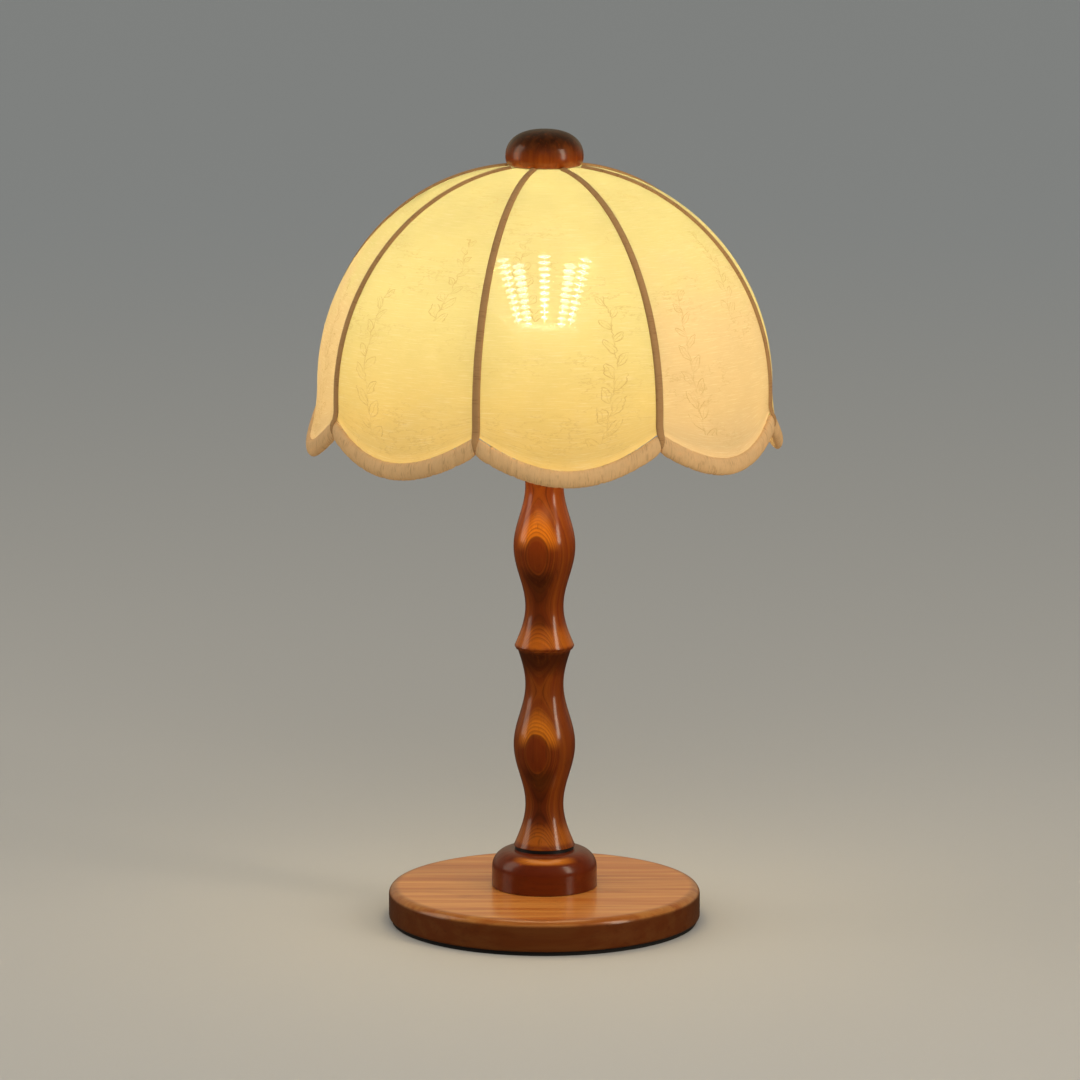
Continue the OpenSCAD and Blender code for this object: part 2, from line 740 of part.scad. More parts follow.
module harp_wire() {
    hub_drop = harp_wire_d + 1;
    color("#c8a24a")
        union() {
            harp_leg();
            mirror([1, 0, 0]) harp_leg();
            wire_arc(0, z_arch, harp_w / 2, 0, 180, harp_r - SLIM);
            hole(seat_d / 2 - 2, z_seat - seat_t - hub_drop, z_seat - seat_t + LAP);
            hole(seat_d / 2, z_seat - seat_t, z_seat);
            hole(stud_r, z_seat, z_stud_top);
        }
}

module harp_ferrules() {
    color("#d2ae58")
        for (side = [-1, 1])
            translate([side * harp_foot / 2, 0, 0])
                ring(harp_r + fit / 2 + ferrule_wall, harp_r + fit / 2, ferrule_z, ferrule_z + ferrule_h);
}

// Lampholder

module socket_cap() {
    hub_r = tube_d / 2 + hub_wall;
    r = socket_d / 2;
    z_bowl = z_holder + hub_h;
    z_rim = z_bowl + bowl_h;
    color("#c49a3c")
        turned(concat(
            [[tube_hole_r, z_holder], [hub_r, z_holder]],
            bowl_points(hub_r, z_bowl, r, z_rim),
            [[r, z_rim + rim_h], [r - socket_wall, z_rim + rim_h]],
            reversed(bowl_points(hub_r, z_bowl + socket_wall, r - socket_wall, z_rim)),
            [[tube_hole_r, z_bowl + socket_wall]]));
}

module key_hole() {
    cross_rod(key_hole_r, -socket_d, 0, z_key);
}

module socket_shell() {
    color("#c49a3c")
        difference() {
            ring(shell_r, shell_r - socket_wall, z_shell, z_shell_top);
            key_hole();
        }
}

module socket_liner() {
    color("#6b4a2c")
        difference() {
            ring(liner_r, liner_r - liner_t, z_shell, z_shell_top - socket_wall);
            key_hole();
        }
}

module socket_core() {
    color("#1e1b18")
        difference() {
            hole(core_r, z_shell, z_core_top);
            cross_rod(key_shaft_d / 2 + run_fit, -core_r - CUT, 0, z_key);
            for (side = [-1, 1])
                translate([side * core_port, 0, 0]) hole(lead_hole_r, z_shell - CUT, z_shell + port_depth);
        }
}

module screw_shell() {
    color("#c8b878") ring(thread_r + thread_wall, thread_r, z_core_top, z_shell_top - socket_wall);
}

module centre_contact() {
    color("#d0a850") hole(contact_d / 2, z_core_top, z_bulb);
}

module switch_key() {
    grip_y = -socket_d / 2 - key_stand;
    shaft_tip = -fit - EPS;
    color("#1a1714") {
        cross_rod(key_shaft_d / 2, grip_y, shaft_tip, z_key);
        intersection() {
            cross_rod(key_grip_w / 2, grip_y - key_grip_l, grip_y, z_key);
            translate([-key_grip_w, grip_y - key_grip_l, z_key - key_grip_t / 2])
                cube([2 * key_grip_w, key_grip_l, key_grip_t]);
        }
    }
}

// Bulb

module bulb_foot() {
    button_r = 4.4;
    button_h = 1;
    color("#2a2622")
        turned([[0, z_bulb], [button_r, z_bulb], [button_r, z_bulb + button_h],
                [bulb_cap_d / 2 - 6, z_bulb + button_h], [bulb_cap_d / 2 - 2, z_bulb_cap], [0, z_bulb_cap]]);
}

module bulb_cap() {
    taper = 2;
    color("#c9c6be")
        difference() {
            turned([[0, z_bulb_cap], [bulb_cap_d / 2 - taper, z_bulb_cap],
                    [bulb_cap_d / 2, z_bulb_cap + taper], [bulb_cap_d / 2, z_bulb_rim], [0, z_bulb_rim]]);
            hole(bulb_cap_d / 2 - bulb_cap_wall, z_bulb_cap + 2 * taper, z_bulb_rim + CUT);
        }
}

module bulb_globe() {
    color("#fff6dc", 0.5) turned(concat(globe_points(0), reversed(globe_points(glass_t))));
}

module bulb_stem() {
    plug_r = neck_glass_r - glass_t - fit;
    rod_r = 3.5;
    color("#e8f0ee")
        turned(concat(
            [[0, z_bulb_rim - bulb_neck_in], [plug_r, z_bulb_rim - bulb_neck_in]],
            reversed(flare_points(rod_r, z_bulb_rim + bulb_neck_in, plug_r, z_bulb_rim)),
            [[rod_r, z_mount - crown_t], [filament_foot_r + filament_d, z_mount - crown_t],
             [filament_foot_r + filament_d, z_mount], [0, z_mount]]));
}

module bulb_filaments() {
    spread = filament_top_r - filament_foot_r;
    lean = atan(spread / filament_h);
    foot_z = z_mount + fit / 2 + filament_d / 2 * sin(lean);
    color("#ffd070")
        for (i = [0:filament_count - 1])
            rotate([0, 0, 360 / filament_count * (i + 0.25)])
                translate([filament_foot_r, 0, foot_z]) rotate([0, lean, 0])
                    cylinder(d = filament_d, h = filament_h / cos(lean));
}

// Finial

module finial_insert() {
    color("#c8a24a")
        difference() {
            union() {
                hole(insert_flange_d / 2, z_plate_top, z_finial);
                hole(insert_d / 2, z_plate_top, insert_top);
            }
            hole(stud_r + run_fit, z_plate_top - CUT, z_stud_top + CUT);
        }
}

module finial_knob() {
    color("#5a2c10")
        difference() {
            turned(concat([[0, z_finial]], knob_points()));
            hole(insert_d / 2 + run_fit, z_finial - CUT, insert_top + fit);
        }
}

// Shade

module top_plate() {
    color("#c8a24a") ring(plate_r, stud_r + run_fit, z_seat, z_plate_top);
}

module shade_frame() {
    rings = [for (k = [0:panel_count - 1], i = [0:HEM_STEPS - 1])
        hem_ring(rib_phase + (k + 0.5) * panel_step, 2 * i / HEM_STEPS - 1, wire_d, wire_d)];
    color("#b8b6ae") {
        for (k = [1:panel_count])
            along_rib(k, acos((plate_r + fit - dome_out) / wire_r), z_rib_end)
                translate([wire_r, 0]) circle(r = wire_d / 2 - $slim);
        polyhedron(points = joined(rings), faces = skin_faces(len(rings), HEM_SIDES, true), convexity = 10);
    }
}

module shade_panel(k) {
    mid = rib_phase + (k - 0.5) * panel_step;
    rows = DOME_ROWS + SKIRT_ROWS;
    points = [for (wall = [0, fabric_t], j = [0:rows], i = [0:PANEL_COLUMNS])
        panel_point(mid, 2 * i / PANEL_COLUMNS - 1, j, wall)];
    color("#f2d9a0") polyhedron(points = points, faces = slab_faces(PANEL_COLUMNS, rows), convexity = 4);
}

module rib_piping(k) {
    round_r = (piping_w * piping_w / 4 + piping_t * piping_t) / (2 * piping_t);
    color("#8c6038")
        along_rib(k, acos((finial_d / 2 - dome_out) / dome_r), z_rib_end)
            intersection() {
                translate([dome_r - round_r, 0]) circle(r = round_r - $slim);
                translate([dome_r - piping_t + $slim, -piping_w]) square([piping_t + CUT, 2 * piping_w]);
            }
}

module hem_binding(k) {
    mid = rib_phase + (k - 0.5) * panel_step;
    ends = 1 - seam_gap / half_step;
    sizes = [[binding_t, binding_h], [wire_d + 2 * fit, wire_d + 2 * fit]];
    points = [for (size = sizes, i = [0:HEM_STEPS])
        each hem_ring(mid, (2 * i / HEM_STEPS - 1) * ends, size[0], size[1])];
    color("#b08a58") polyhedron(points = points, faces = pipe_faces(HEM_STEPS + 1, HEM_SIDES), convexity = 6);
}

base_pad();
base_weight();
base_disc();
cord_grommet();
terminal_block();
block_screw();
collar();
stem_washer();
lower_stem();
upper_stem();
threaded_tube();
tube_washer();
tube_nut();
vase_cap();
inner_leads();
harp_saddle();
harp_wire();
harp_ferrules();
socket_cap();
socket_shell();
socket_liner();
socket_core();
screw_shell();
centre_contact();
switch_key();
bulb_foot();
bulb_cap();
bulb_globe();
bulb_stem();
bulb_filaments();
finial_insert();
finial_knob();
top_plate();
shade_frame();
for (k = [1:panel_count]) {
    shade_panel(k);
    rib_piping(k);
    hem_binding(k);
}
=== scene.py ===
"""Looks of a wooden table lamp: turned wood, a lit fabric shade with a scalloped hem, brass fittings.

Metres, +Z up, and the front faces -Y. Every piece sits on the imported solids, which are the frame.
"""

import math
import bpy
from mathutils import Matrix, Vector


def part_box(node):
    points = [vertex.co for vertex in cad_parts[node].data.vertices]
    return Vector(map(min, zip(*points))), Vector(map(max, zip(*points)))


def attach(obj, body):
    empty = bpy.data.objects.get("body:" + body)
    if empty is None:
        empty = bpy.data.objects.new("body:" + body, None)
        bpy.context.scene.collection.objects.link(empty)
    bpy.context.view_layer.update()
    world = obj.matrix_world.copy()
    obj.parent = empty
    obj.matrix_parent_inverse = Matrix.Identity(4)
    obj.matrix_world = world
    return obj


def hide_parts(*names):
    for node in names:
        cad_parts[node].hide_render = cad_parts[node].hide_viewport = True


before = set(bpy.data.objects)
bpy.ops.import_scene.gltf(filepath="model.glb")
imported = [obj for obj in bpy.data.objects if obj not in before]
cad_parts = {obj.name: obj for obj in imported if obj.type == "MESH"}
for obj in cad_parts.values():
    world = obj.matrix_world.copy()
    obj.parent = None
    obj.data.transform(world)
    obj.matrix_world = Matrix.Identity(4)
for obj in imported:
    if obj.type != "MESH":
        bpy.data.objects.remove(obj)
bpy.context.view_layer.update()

from types import SimpleNamespace

import bpy
from bpy.props import FloatProperty, FloatVectorProperty, IntProperty, PointerProperty
from mathutils import Vector

bl_info = {
    "name": "Wooden table lamp",
    "version": (1, 0, 0),
    "blender": (4, 5, 0),
    "location": "View3D > Sidebar > Lamp",
    "description": "Dresses a table lamp in turned wood, lit fabric and brass",
    "category": "Object",
}

MM = 0.001
TURN_STEPS = 160
MERGE = 0.002 * MM
PANEL_GRID = (72, 150)
PIPING_GRID = (20, 130)
BINDING_GRID = (220, 32)
# The pieces of fabric lie this far apart on the map of their cloth, so that no two show the same threads
PANEL_APART = 1.0
PIPING_APART = 0.4
BINDING_APART = 0.5
PANEL_NAMES = [f"shade_panel_{k}" for k in range(1, 9)]
PIPING_NAMES = [f"rib_piping_{k}" for k in range(1, 9)]
BINDING_NAMES = [f"hem_binding_{k}" for k in range(1, 9)]
# Shares of its height and thickness that the binding keeps where it is sewn to its neighbour
SEWN_HEIGHT = 0.8
SEWN_DEPTH = 0.72
# How far the panels stay clear of the top plate, and how far they are tucked into the binding
PLATE_GAP = 0.2 * MM
HEM_TUCK = 0.3 * MM


def paint(code):
    """Linear colour of a web colour code."""
    parts = [int(code[i:i + 2], 16) / 255 for i in (1, 3, 5)]
    linear = [p / 12.92 if p <= 0.04045 else ((p + 0.055) / 1.055) ** 2.4 for p in parts]
    return (*linear, 1.0)


def reach(node):
    """Largest distance of a CAD node from the Z axis."""
    return max(math.hypot(v.co.x, v.co.y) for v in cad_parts[node].data.vertices)


def floor_of(node):
    """Lowest height of a CAD node."""
    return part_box(node)[0].z


def top_of(node):
    """Highest height of a CAD node."""
    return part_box(node)[1].z


# Sizes and colours that a user would change

def length(name, about, millimetres):
    return FloatProperty(name=name, description=about, default=millimetres * MM, unit="LENGTH",
                         precision=4)


def colour(name, about, code):
    return FloatVectorProperty(name=name, description=about, default=paint(code), size=4,
                               subtype="COLOR", min=0.0, max=1.0)


class WoodSizes(bpy.types.PropertyGroup):
    """Turned pieces, where the frame doesn't give their size"""

    base_edge: length("Base edge", "Rounding of the base disc's upper edge", 5.0)
    base_foot: length("Base foot", "Rounding of the base disc's lower edge", 1.6)
    base_rim: length("Base rim", "Width of the base disc's rim around the hollow under it", 24.0)
    hollow_ceiling: length("Hollow ceiling", "Height of that hollow's ceiling", 16.5)
    cord_hole: length("Cord hole", "Radius of the hole for the grommet", 5.0)
    collar_round: length("Collar shoulder", "Rounding of the collar's shoulder", 12.0)
    tube_hole: length("Tube hole", "Radius of the hole for the threaded tube", 5.2)
    tenon: length("Tenon", "Radius of the tenons that join the turned pieces", 9.0)
    tenon_length: length("Tenon length", "Length of those tenons", 8.0)
    fit: length("Fit", "Clearance round a tenon", 0.2)
    neck: length("Neck", "Radius of the stem's necks", 12.1)
    foot_height: length("Foot", "Height from the stem's foot to its lowest neck", 27.0)
    swell_height: length("Swelling", "Height from a neck to the middle of a swelling", 38.5)
    lower_top: length("Lower top", "Radius of the lower stem at its top", 17.0)
    lip: length("Lip", "Radius of the lip at the foot of the upper stem", 18.9)
    lip_height: length("Lip height", "Height of that lip", 2.0)
    lip_flare: length("Lip flare", "Height from the lip to the neck above it", 25.0)
    stem_top: length("Stem top", "Radius of the upper stem at its top", 17.0)
    knob_foot: length("Knob foot", "Radius of the knob's underside", 21.4)
    knob_wide: length("Knob height", "Height of the knob's widest place", 5.6)
    knob_square: FloatProperty(name="Knob shoulder", default=2.35,
                               description="Squareness of the knob's shoulder, 2 is an ellipse")
    insert_hole: length("Insert hole", "Radius of the hole for the brass insert", 6.06)


class ShadeSizes(bpy.types.PropertyGroup):
    """Fabric shade, where the frame doesn't give its size"""

    panel_count: IntProperty(name="Panels", description="Number of fabric panels", default=8)
    rib_phase: FloatProperty(name="First rib", description="Turn of the first rib from +X",
                             default=math.radians(28.5), subtype="ANGLE", unit="ROTATION")
    dome_radius: length("Dome", "Radius of the arc that the piping follows", 138.1)
    skirt: length("Skirt", "Height from the widest place down to a notch of the hem", 19.0)
    drop: length("Scallop", "Drop of a scallop below the notches", 19.3)
    bulge: FloatProperty(name="Bulge", default=0.72,
                         description="How far a panel bulges from flat, 0, to round, 1")
    piping_width: length("Piping width", "Width of the piping over a seam", 5.0)
    piping_height: length("Piping height", "Height of the piping over a seam", 1.6)
    piping_tail: length("Piping tail", "Length of the piping's tail over the binding", 9.0)
    binding_height: length("Binding height", "Height of the rolled binding", 10.8)
    binding_depth: length("Binding depth", "Thickness of the rolled binding", 6.4)
    binding_out: length("Binding stand", "How far the binding stands out from the fabric", 1.5)
    layer: length("Layer gap", "Clearance between the shade's layers", 0.1)
    seam: FloatProperty(name="Seam gap", description="Angle left free beside each rib",
                        default=math.radians(0.15), subtype="ANGLE", unit="ROTATION")


class BulbSizes(bpy.types.PropertyGroup):
    """Filaments of the bulb"""

    strands: IntProperty(name="Filaments", description="Number of filaments", default=5)
    beads: IntProperty(name="Beads", description="Number of glowing beads on a filament", default=11)
    foot: length("Foot ring", "Radius of the filaments' ring at its foot", 17.0)
    top: length("Top ring", "Radius of the filaments' ring at its top", 28.0)
    wire: length("Wire", "Radius of the wire that carries the beads", 0.3)
    bead: length("Bead", "Radius of a bead", 3.6)
    bead_flat: FloatProperty(name="Bead flatness", description="Height of a bead over its width",
                             default=0.3)


class LampColours(bpy.types.PropertyGroup):
    """Colours of the finishes"""

    wood_dark: colour("Dark grain", "Dark lines of the stem's wood", "#341002")
    wood_mid: colour("Wood", "Middle tone of the stem's wood", "#6A2604")
    wood_light: colour("Light grain", "Light bands of the stem's wood", "#7E3A07")
    # Bright tone of the grain's arch over each eye, also used for painted light on the stem and a painted
    # reflection on the collar
    wood_arch_and_painted_light: colour("Bright grain", "Bright arch over each eye of the stem's wood", "#D07410")
    base_dark: colour("Base grain", "Dark lines of the base's wood", "#7E3A0E")
    base_mid: colour("Base wood", "Middle tone of the base's wood", "#BA6826")
    base_light: colour("Base light", "Light bands of the base's wood", "#D48C42")
    # Painted shade of the base's side and of the rim of its top
    base_side_painted_shade: colour("Base side", "Darker stain of the base's side", "#4A1A02")
    collar: colour("Collar", "Middle tone of the collar's wood", "#5A1B02")
    knob_dark: colour("Knob grain", "Dark lines of the knob's wood", "#321404")
    knob_mid: colour("Knob wood", "Middle tone of the knob's wood", "#8E3804")
    knob_light: colour("Knob light", "Light bands of the knob's wood", "#A85410")
    cloth: colour("Cloth", "Fabric of the panels", "#E8D996")
    cloth_low: colour("Low cloth", "Fabric of the panels towards the hem", "#EBC270")
    cloth_blush: colour("Warm cloth", "Fabric of the panels that are a little pinker", "#E6C698")
    thread: colour("Thread", "Thicker threads of that fabric", "#FBEBBE")
    print_line: colour("Print", "Lines printed on the fabric", "#B98B46")
    piping: colour("Piping", "Fabric of the piping", "#B68A58")
    binding: colour("Binding", "Fabric of the rolled hem", "#ECC289")
    bulb: colour("Bulb light", "Light of the filaments", "#FFF6DE")
    brass: colour("Brass", "Brass fittings", "#C9A04A")
    steel: colour("Steel", "Steel fittings", "#A9A9A5")
    floor: colour("Floor", "Floor round the lamp", "#BDB8AF")
    backdrop: colour("Backdrop", "Floor far behind the lamp", "#B2B2AF")


# Shader sums

def sum_of(operation, swapped=False):
    """A method of Value that adds a Math node; swapped is for a number on the left of the sign."""
    def method(value, *others):
        terms = (*others, value) if swapped else (value, *others)
        return value.finish.node("Math", {"operation": operation}, dict(enumerate(terms)))
    return method


class Value:
    """A shader socket that takes part in Python sums: each sum adds a Math node."""

    def __init__(self, finish, socket):
        self.finish = finish
        self.socket = socket

    __add__, __radd__ = sum_of("ADD"), sum_of("ADD", True)
    __sub__, __rsub__ = sum_of("SUBTRACT"), sum_of("SUBTRACT", True)
    __mul__, __rmul__ = sum_of("MULTIPLY"), sum_of("MULTIPLY", True)
    __truediv__, __rtruediv__ = sum_of("DIVIDE"), sum_of("DIVIDE", True)
    __pow__, __rpow__ = sum_of("POWER"), sum_of("POWER", True)
    __lt__, __gt__ = sum_of("LESS_THAN"), sum_of("GREATER_THAN")
    __abs__, sign = sum_of("ABSOLUTE"), sum_of("SIGN")
    sin, cos, root = sum_of("SINE"), sum_of("COSINE"), sum_of("SQRT")
    fract, floor, most = sum_of("FRACT"), sum_of("FLOOR"), sum_of("MAXIMUM")

    def __neg__(self):
        return self * -1.0


class Finish:
    """The nodes of a material, or of the world where that is given."""

    def __init__(self, name, world=None):
        self.owner = world or bpy.data.materials.new(name)
        self.owner.use_nodes = True
        self.tree = self.owner.node_tree
        self.tree.nodes.clear()

    def node(self, kind, settings=None, sockets=None, out=0):
        """Add a node: its settings first, then the values or links of its sockets."""
        made = self.tree.nodes.new("ShaderNode" + kind)
        for key, value in (settings or {}).items():
            setattr(made, key, value)
        for key, value in (sockets or {}).items():
            if isinstance(value, Value):
                self.tree.links.new(value.socket, made.inputs[key])
            else:
                made.inputs[key].default_value = value
        return Value(self, made.outputs[out])

    def place(self, kind="Object"):
        """Coordinates in millimetres, as a vector and as its three parts."""
        scaled = self.tint(self.node("TexCoord", out=kind), 1 / MM)
        return scaled, self.parts(scaled)

    def flat(self):
        """The cloth's own UV map in millimetres, as two values."""
        _, (across, along, _) = self.place("UV")
        return across, along

    def parts(self, vector):
        split = self.node("SeparateXYZ", None, {0: vector})
        return [Value(self, output) for output in split.socket.node.outputs]

    def vector(self, x, y, z):
        return self.node("CombineXYZ", None, {0: x, 1: y, 2: z})

    def noise(self, vector, scale=1.0, detail=2.0, roughness=0.5):
        return self.node("TexNoise", None, {"Vector": vector, "Scale": scale, "Detail": detail,
                                            "Roughness": roughness})

    def noise_at(self, x, y, z, detail=2.0, roughness=0.5):
        """Noise at a point given by its three parts."""
        return self.noise(self.vector(x, y, z), 1.0, detail, roughness)

    def step(self, value, low, high):
        """0 below low and 1 above high, smooth between; low may be the greater."""
        start, end = (0.0, 1.0) if low < high else (1.0, 0.0)
        return self.node("MapRange", {"interpolation_type": "SMOOTHSTEP"},
                         {"Value": value, "From Min": min(low, high), "From Max": max(low, high),
                          "To Min": start, "To Max": end})

    def mix(self, share, first, second):
        """Colour from first to second by share."""
        return self.node("Mix", {"data_type": "RGBA"}, {0: share, 6: first, 7: second}, out=2)

    def tint(self, tone, share):
        """Colour or vector times a value."""
        return self.node("VectorMath", {"operation": "SCALE"}, {0: tone, "Scale": share})

    def bump(self, height, depth, strength=1.0):
        """Normal from a height of 0 to 1 that stands for depth."""
        return self.node("Bump", None, {"Height": height, "Distance": depth, "Strength": strength})

    def principled(self, **sockets):
        names = {key: key.replace("_", " ").title().replace("Ior", "IOR") for key in sockets}
        return self.node("BsdfPrincipled", None, {names[key]: value for key, value in sockets.items()})

    def shader_mix(self, share, first, second):
        return self.node("MixShader", None, {0: share, 1: first, 2: second})

    def done(self, shader, output="OutputMaterial"):
        out = self.tree.nodes.new("ShaderNode" + output)
        self.tree.links.new(shader.socket, out.inputs["Surface"])
        return self.owner


# Finishes

def darker(tone, *shares):
    """A colour with its red, green and blue cut to these shares."""
    return (*(share * part for share, part in zip(shares, tone)), 1.0)


def lacquer(finish, base, fibres, tones, haze, coat=0.75):
    """Add streaks and pores along the fibres, in tones of dark and light, under a hazy clear coat."""
    dark, light = tones
    streak = finish.noise(fibres, scale=0.5, detail=4.0, roughness=0.62)
    pores = finish.step(finish.noise(fibres, scale=2.4, detail=1.0), 0.68, 0.76)
    base = finish.mix(finish.step(streak, 0.52, 0.78) * 0.4, base, dark)
    base = finish.mix(finish.step(streak, 0.46, 0.24) * 0.35, base, light)
    base = finish.mix(pores * 0.3, base, dark)
    height = streak * 0.6 - pores * 0.4
    return finish.done(finish.principled(
        base_color=base, roughness=0.36 + streak * 0.16, normal=finish.bump(height, 0.03 * MM, 0.5),
        coat_weight=coat, coat_roughness=haze, specular_ior_level=0.2,
        specular_tint=(1.0, 0.6, 0.3, 1.0)))


def stem_wood(name, tones, swell_low, swell_high):
    """Upright layers that face a little left of the front, so each swelling shows an oval eye."""
    face_turn = math.radians(15.0)
    layer, bend, tilt, rim = 0.75, 0.9, 1.6, 1.2
    dark, mid, light, glow = tones
    finish = Finish(name)
    _, (x, y, z) = finish.place()
    phase = (z - swell_low / MM) * (math.tau * MM / (swell_high - swell_low))
    climb, near_swell = phase.sin(), phase.cos()
    front = x * -math.sin(face_turn) + y * -math.cos(face_turn)
    fibres = finish.vector(x, y, z * 0.05)
    warp = finish.noise_at(x * 0.09, y * 0.09, z * 0.03, 1.0) - 0.5
    depth = reach("lower_stem") / MM - front - (1.0 - near_swell) * bend + climb * tilt + warp * 1.3

    # Layers: broad light and dark ones. Then painted light and shade: the grain's arch over each eye is
    # lighter where the swelling faces up, and a painted shadow darkens the side that faces down
    band = finish.noise_at(depth * 0.55, z * 0.004, 2.0)
    base = finish.mix(finish.step(band, 0.34, 0.66), mid, light)
    above = finish.step(climb, -0.1, 0.4) * finish.step(near_swell, -0.1, 0.4)
    painted_light_arch = finish.step(depth, 1.2, 2.0) * finish.step(depth, 7.6, 3.0) * above
    base = finish.mix(painted_light_arch * 0.75, base, glow)
    below = finish.step(climb, -0.45, -0.85)
    base = finish.mix(finish.step(depth, 7.0, 2.5) * below * 0.8, base, dark)
    # Painted light on the flare just above the lip, and a painted shadow on the neck under the lip
    lip = finish.step(near_swell, -0.7, -0.98) * finish.step(climb, 0.02, -0.12)
    base = finish.mix(lip * 0.34, base, glow)
    painted_lip_shadow = finish.step(near_swell, -0.5, -0.95) * finish.step(climb, 0.08, 0.2)
    base = finish.mix(painted_lip_shadow * 0.8, base, dark)

    # The eye: plain wood inside a light rim
    inside = finish.step(depth, rim + 0.15, rim - 0.1)
    base = finish.mix(inside * finish.step(near_swell, -0.2, 0.3) * 0.6, base, mid)
    line = (depth / layer).fract()
    ring = finish.step(line, 0.3, 0.0).most(finish.step(line, 0.5, 1.0) * 0.6)
    close = finish.step(depth, 8.0, 2.0)
    base = finish.mix(ring * (1.0 - inside) * (close * 0.42 + 0.12), base, dark)
    edge = finish.step(abs(depth - rim + 0.1), 0.18, 0.04) * finish.step(near_swell, 0.1, 0.5)
    base = finish.mix(edge * 0.45, base, light)
    flow = finish.noise_at(depth * 2.2, z * 0.008, 8.0, 3.0, 0.7)
    base = finish.mix(finish.step(flow, 0.52, 0.68) * (0.5 - inside * 0.3), base, dark)
    return lacquer(finish, base, fibres, (dark, light), haze=0.15)


def board_wood(name, tones, painted_shade_tone, radius, top):
    """A round board whose lines run along X, with painted shade on its side and on the rim of its top."""
    layer, heart_y, heart_z = 7.0, -26.0, -90.0
    dark, mid, light = tones
    finish = Finish(name)
    _, (x, y, z) = finish.place()
    warp = finish.noise_at(x * 0.01, y * 0.03, z * 0.03) - 0.5
    off_y, off_z = y - heart_y, z - heart_z
    band = (((off_y * off_y + off_z * off_z).root() + warp * 18.0) / layer).fract()
    fibres = finish.vector(x * 0.035, y, z)
    cloud = finish.noise(fibres, 0.16, 2.0)
    base = finish.mix(finish.step(cloud, 0.36, 0.68), mid, light)
    line = finish.step(band, 0.12, 0.0).most(finish.step(band, 0.45, 1.0) * 0.6)
    base = finish.mix(line * 0.22, base, dark)
    # Painted shade: darker on the side and towards the rim of the top, in the grain's tones as well
    side = finish.step(z, top / MM - 1.0, top / MM - 4.5)
    edge = finish.step((x * x + y * y).root(), radius / MM - 7.5, radius / MM - 3.0)
    side = side.most(edge * 0.5)
    base = finish.mix(side * 0.92, base, painted_shade_tone)
    dark = finish.mix(side, dark, darker(painted_shade_tone, 0.6, 0.6, 0.6))
    mid = finish.mix(side * 0.96, mid, painted_shade_tone)
    return lacquer(finish, base, fibres, (dark, mid), haze=0.17)


def collar_wood(name, tones, top):
    """Dark wood, with a painted reflection of the lit shade as a light arch on the front of its shoulder.
    """
    dark, mid, light, glow = tones
    finish = Finish(name)
    _, (x, y, z) = finish.place()
    fibres = finish.vector(x * 0.035, y, z)
    cloud = finish.noise(fibres, 0.16, 2.0)
    base = finish.mix(finish.step(cloud, 0.4, 0.7) * 0.5, mid, light)
    # Painted reflection of the lit shade: a light arch on the front of the shoulder
    down = top / MM - z + (cloud - 0.5) * 1.5
    facing = -y / (x * x + y * y).root()
    painted_light_arch = finish.step(down, 0.6, 2.0) * finish.step(down, 5.2, 3.2) * finish.step(facing, 0.68, 0.97)
    base = finish.mix(painted_light_arch * 0.62, base, glow)
    return lacquer(finish, base, fibres, (dark, light), haze=0.2, coat=0.55)


def knob_wood(name, tones, low, high):
    """Dark wood with upright streaks, redder towards its underside."""
    dark, mid, light = tones
    finish = Finish(name)
    _, (x, y, z) = finish.place()
    fibres = finish.vector(x, y, z * 0.1)
    cloud = finish.noise(fibres, 0.2, 2.0)
    up, tall = z - low / MM, (high - low) / MM
    red = finish.step(up, 0.8 * tall, 1.0)
    base = finish.mix(red * 0.85, dark, mid)
    base = finish.mix(finish.step(cloud, 0.4, 0.7) * (0.1 + red * 0.45), base, light)
    crown = finish.step(up, 0.6 * tall, 0.92 * tall)
    return lacquer(finish, base, fibres, (dark, mid), haze=0.18, coat=0.6 - crown * 0.48)


def sprig(finish, x, y, seed, tall, bend, leaf, pitch, line):
    """Mask of a printed sprig that rises from 0 to tall: a bent stem with leaves left and right."""
    share = y / tall
    stem_x = x - (share * math.pi * 0.9).sin() * bend
    side = stem_x.sign()
    out = abs(stem_x)
    climb = y + (1.0 - side) * (0.25 * pitch)
    cell = (climb / pitch).floor()
    chance = finish.node("TexWhiteNoise", {"noise_dimensions": "3D"},
                         {"Vector": finish.vector(cell + 0.5, side * 3.0, seed)})
    rise = climb - (cell + 0.2) * pitch
    turn = 0.62 + chance * 0.4
    along = out * turn.cos() + rise * turn.sin()
    across = abs(rise * turn.cos() - out * turn.sin())
    size = (1.0 - share * 0.5) * (0.72 + chance * 0.28) * leaf
    reach_share = along / size
    inside = (reach_share > 0.0) * (reach_share < 1.0)
    width = (reach_share * math.pi).sin().most(0.0) ** 0.85 * size * 0.2
    edge = finish.step(abs(across - width), line, line * 0.35) * inside
    rib = finish.step(across, line * 0.7, line * 0.2) * inside * (reach_share < 0.82)
    stem = finish.step(out, line * 0.95, line * 0.4)
    shown = (y > 0.0) * (y < tall)
    return edge.most(rib * 0.7).most(stem) * shown


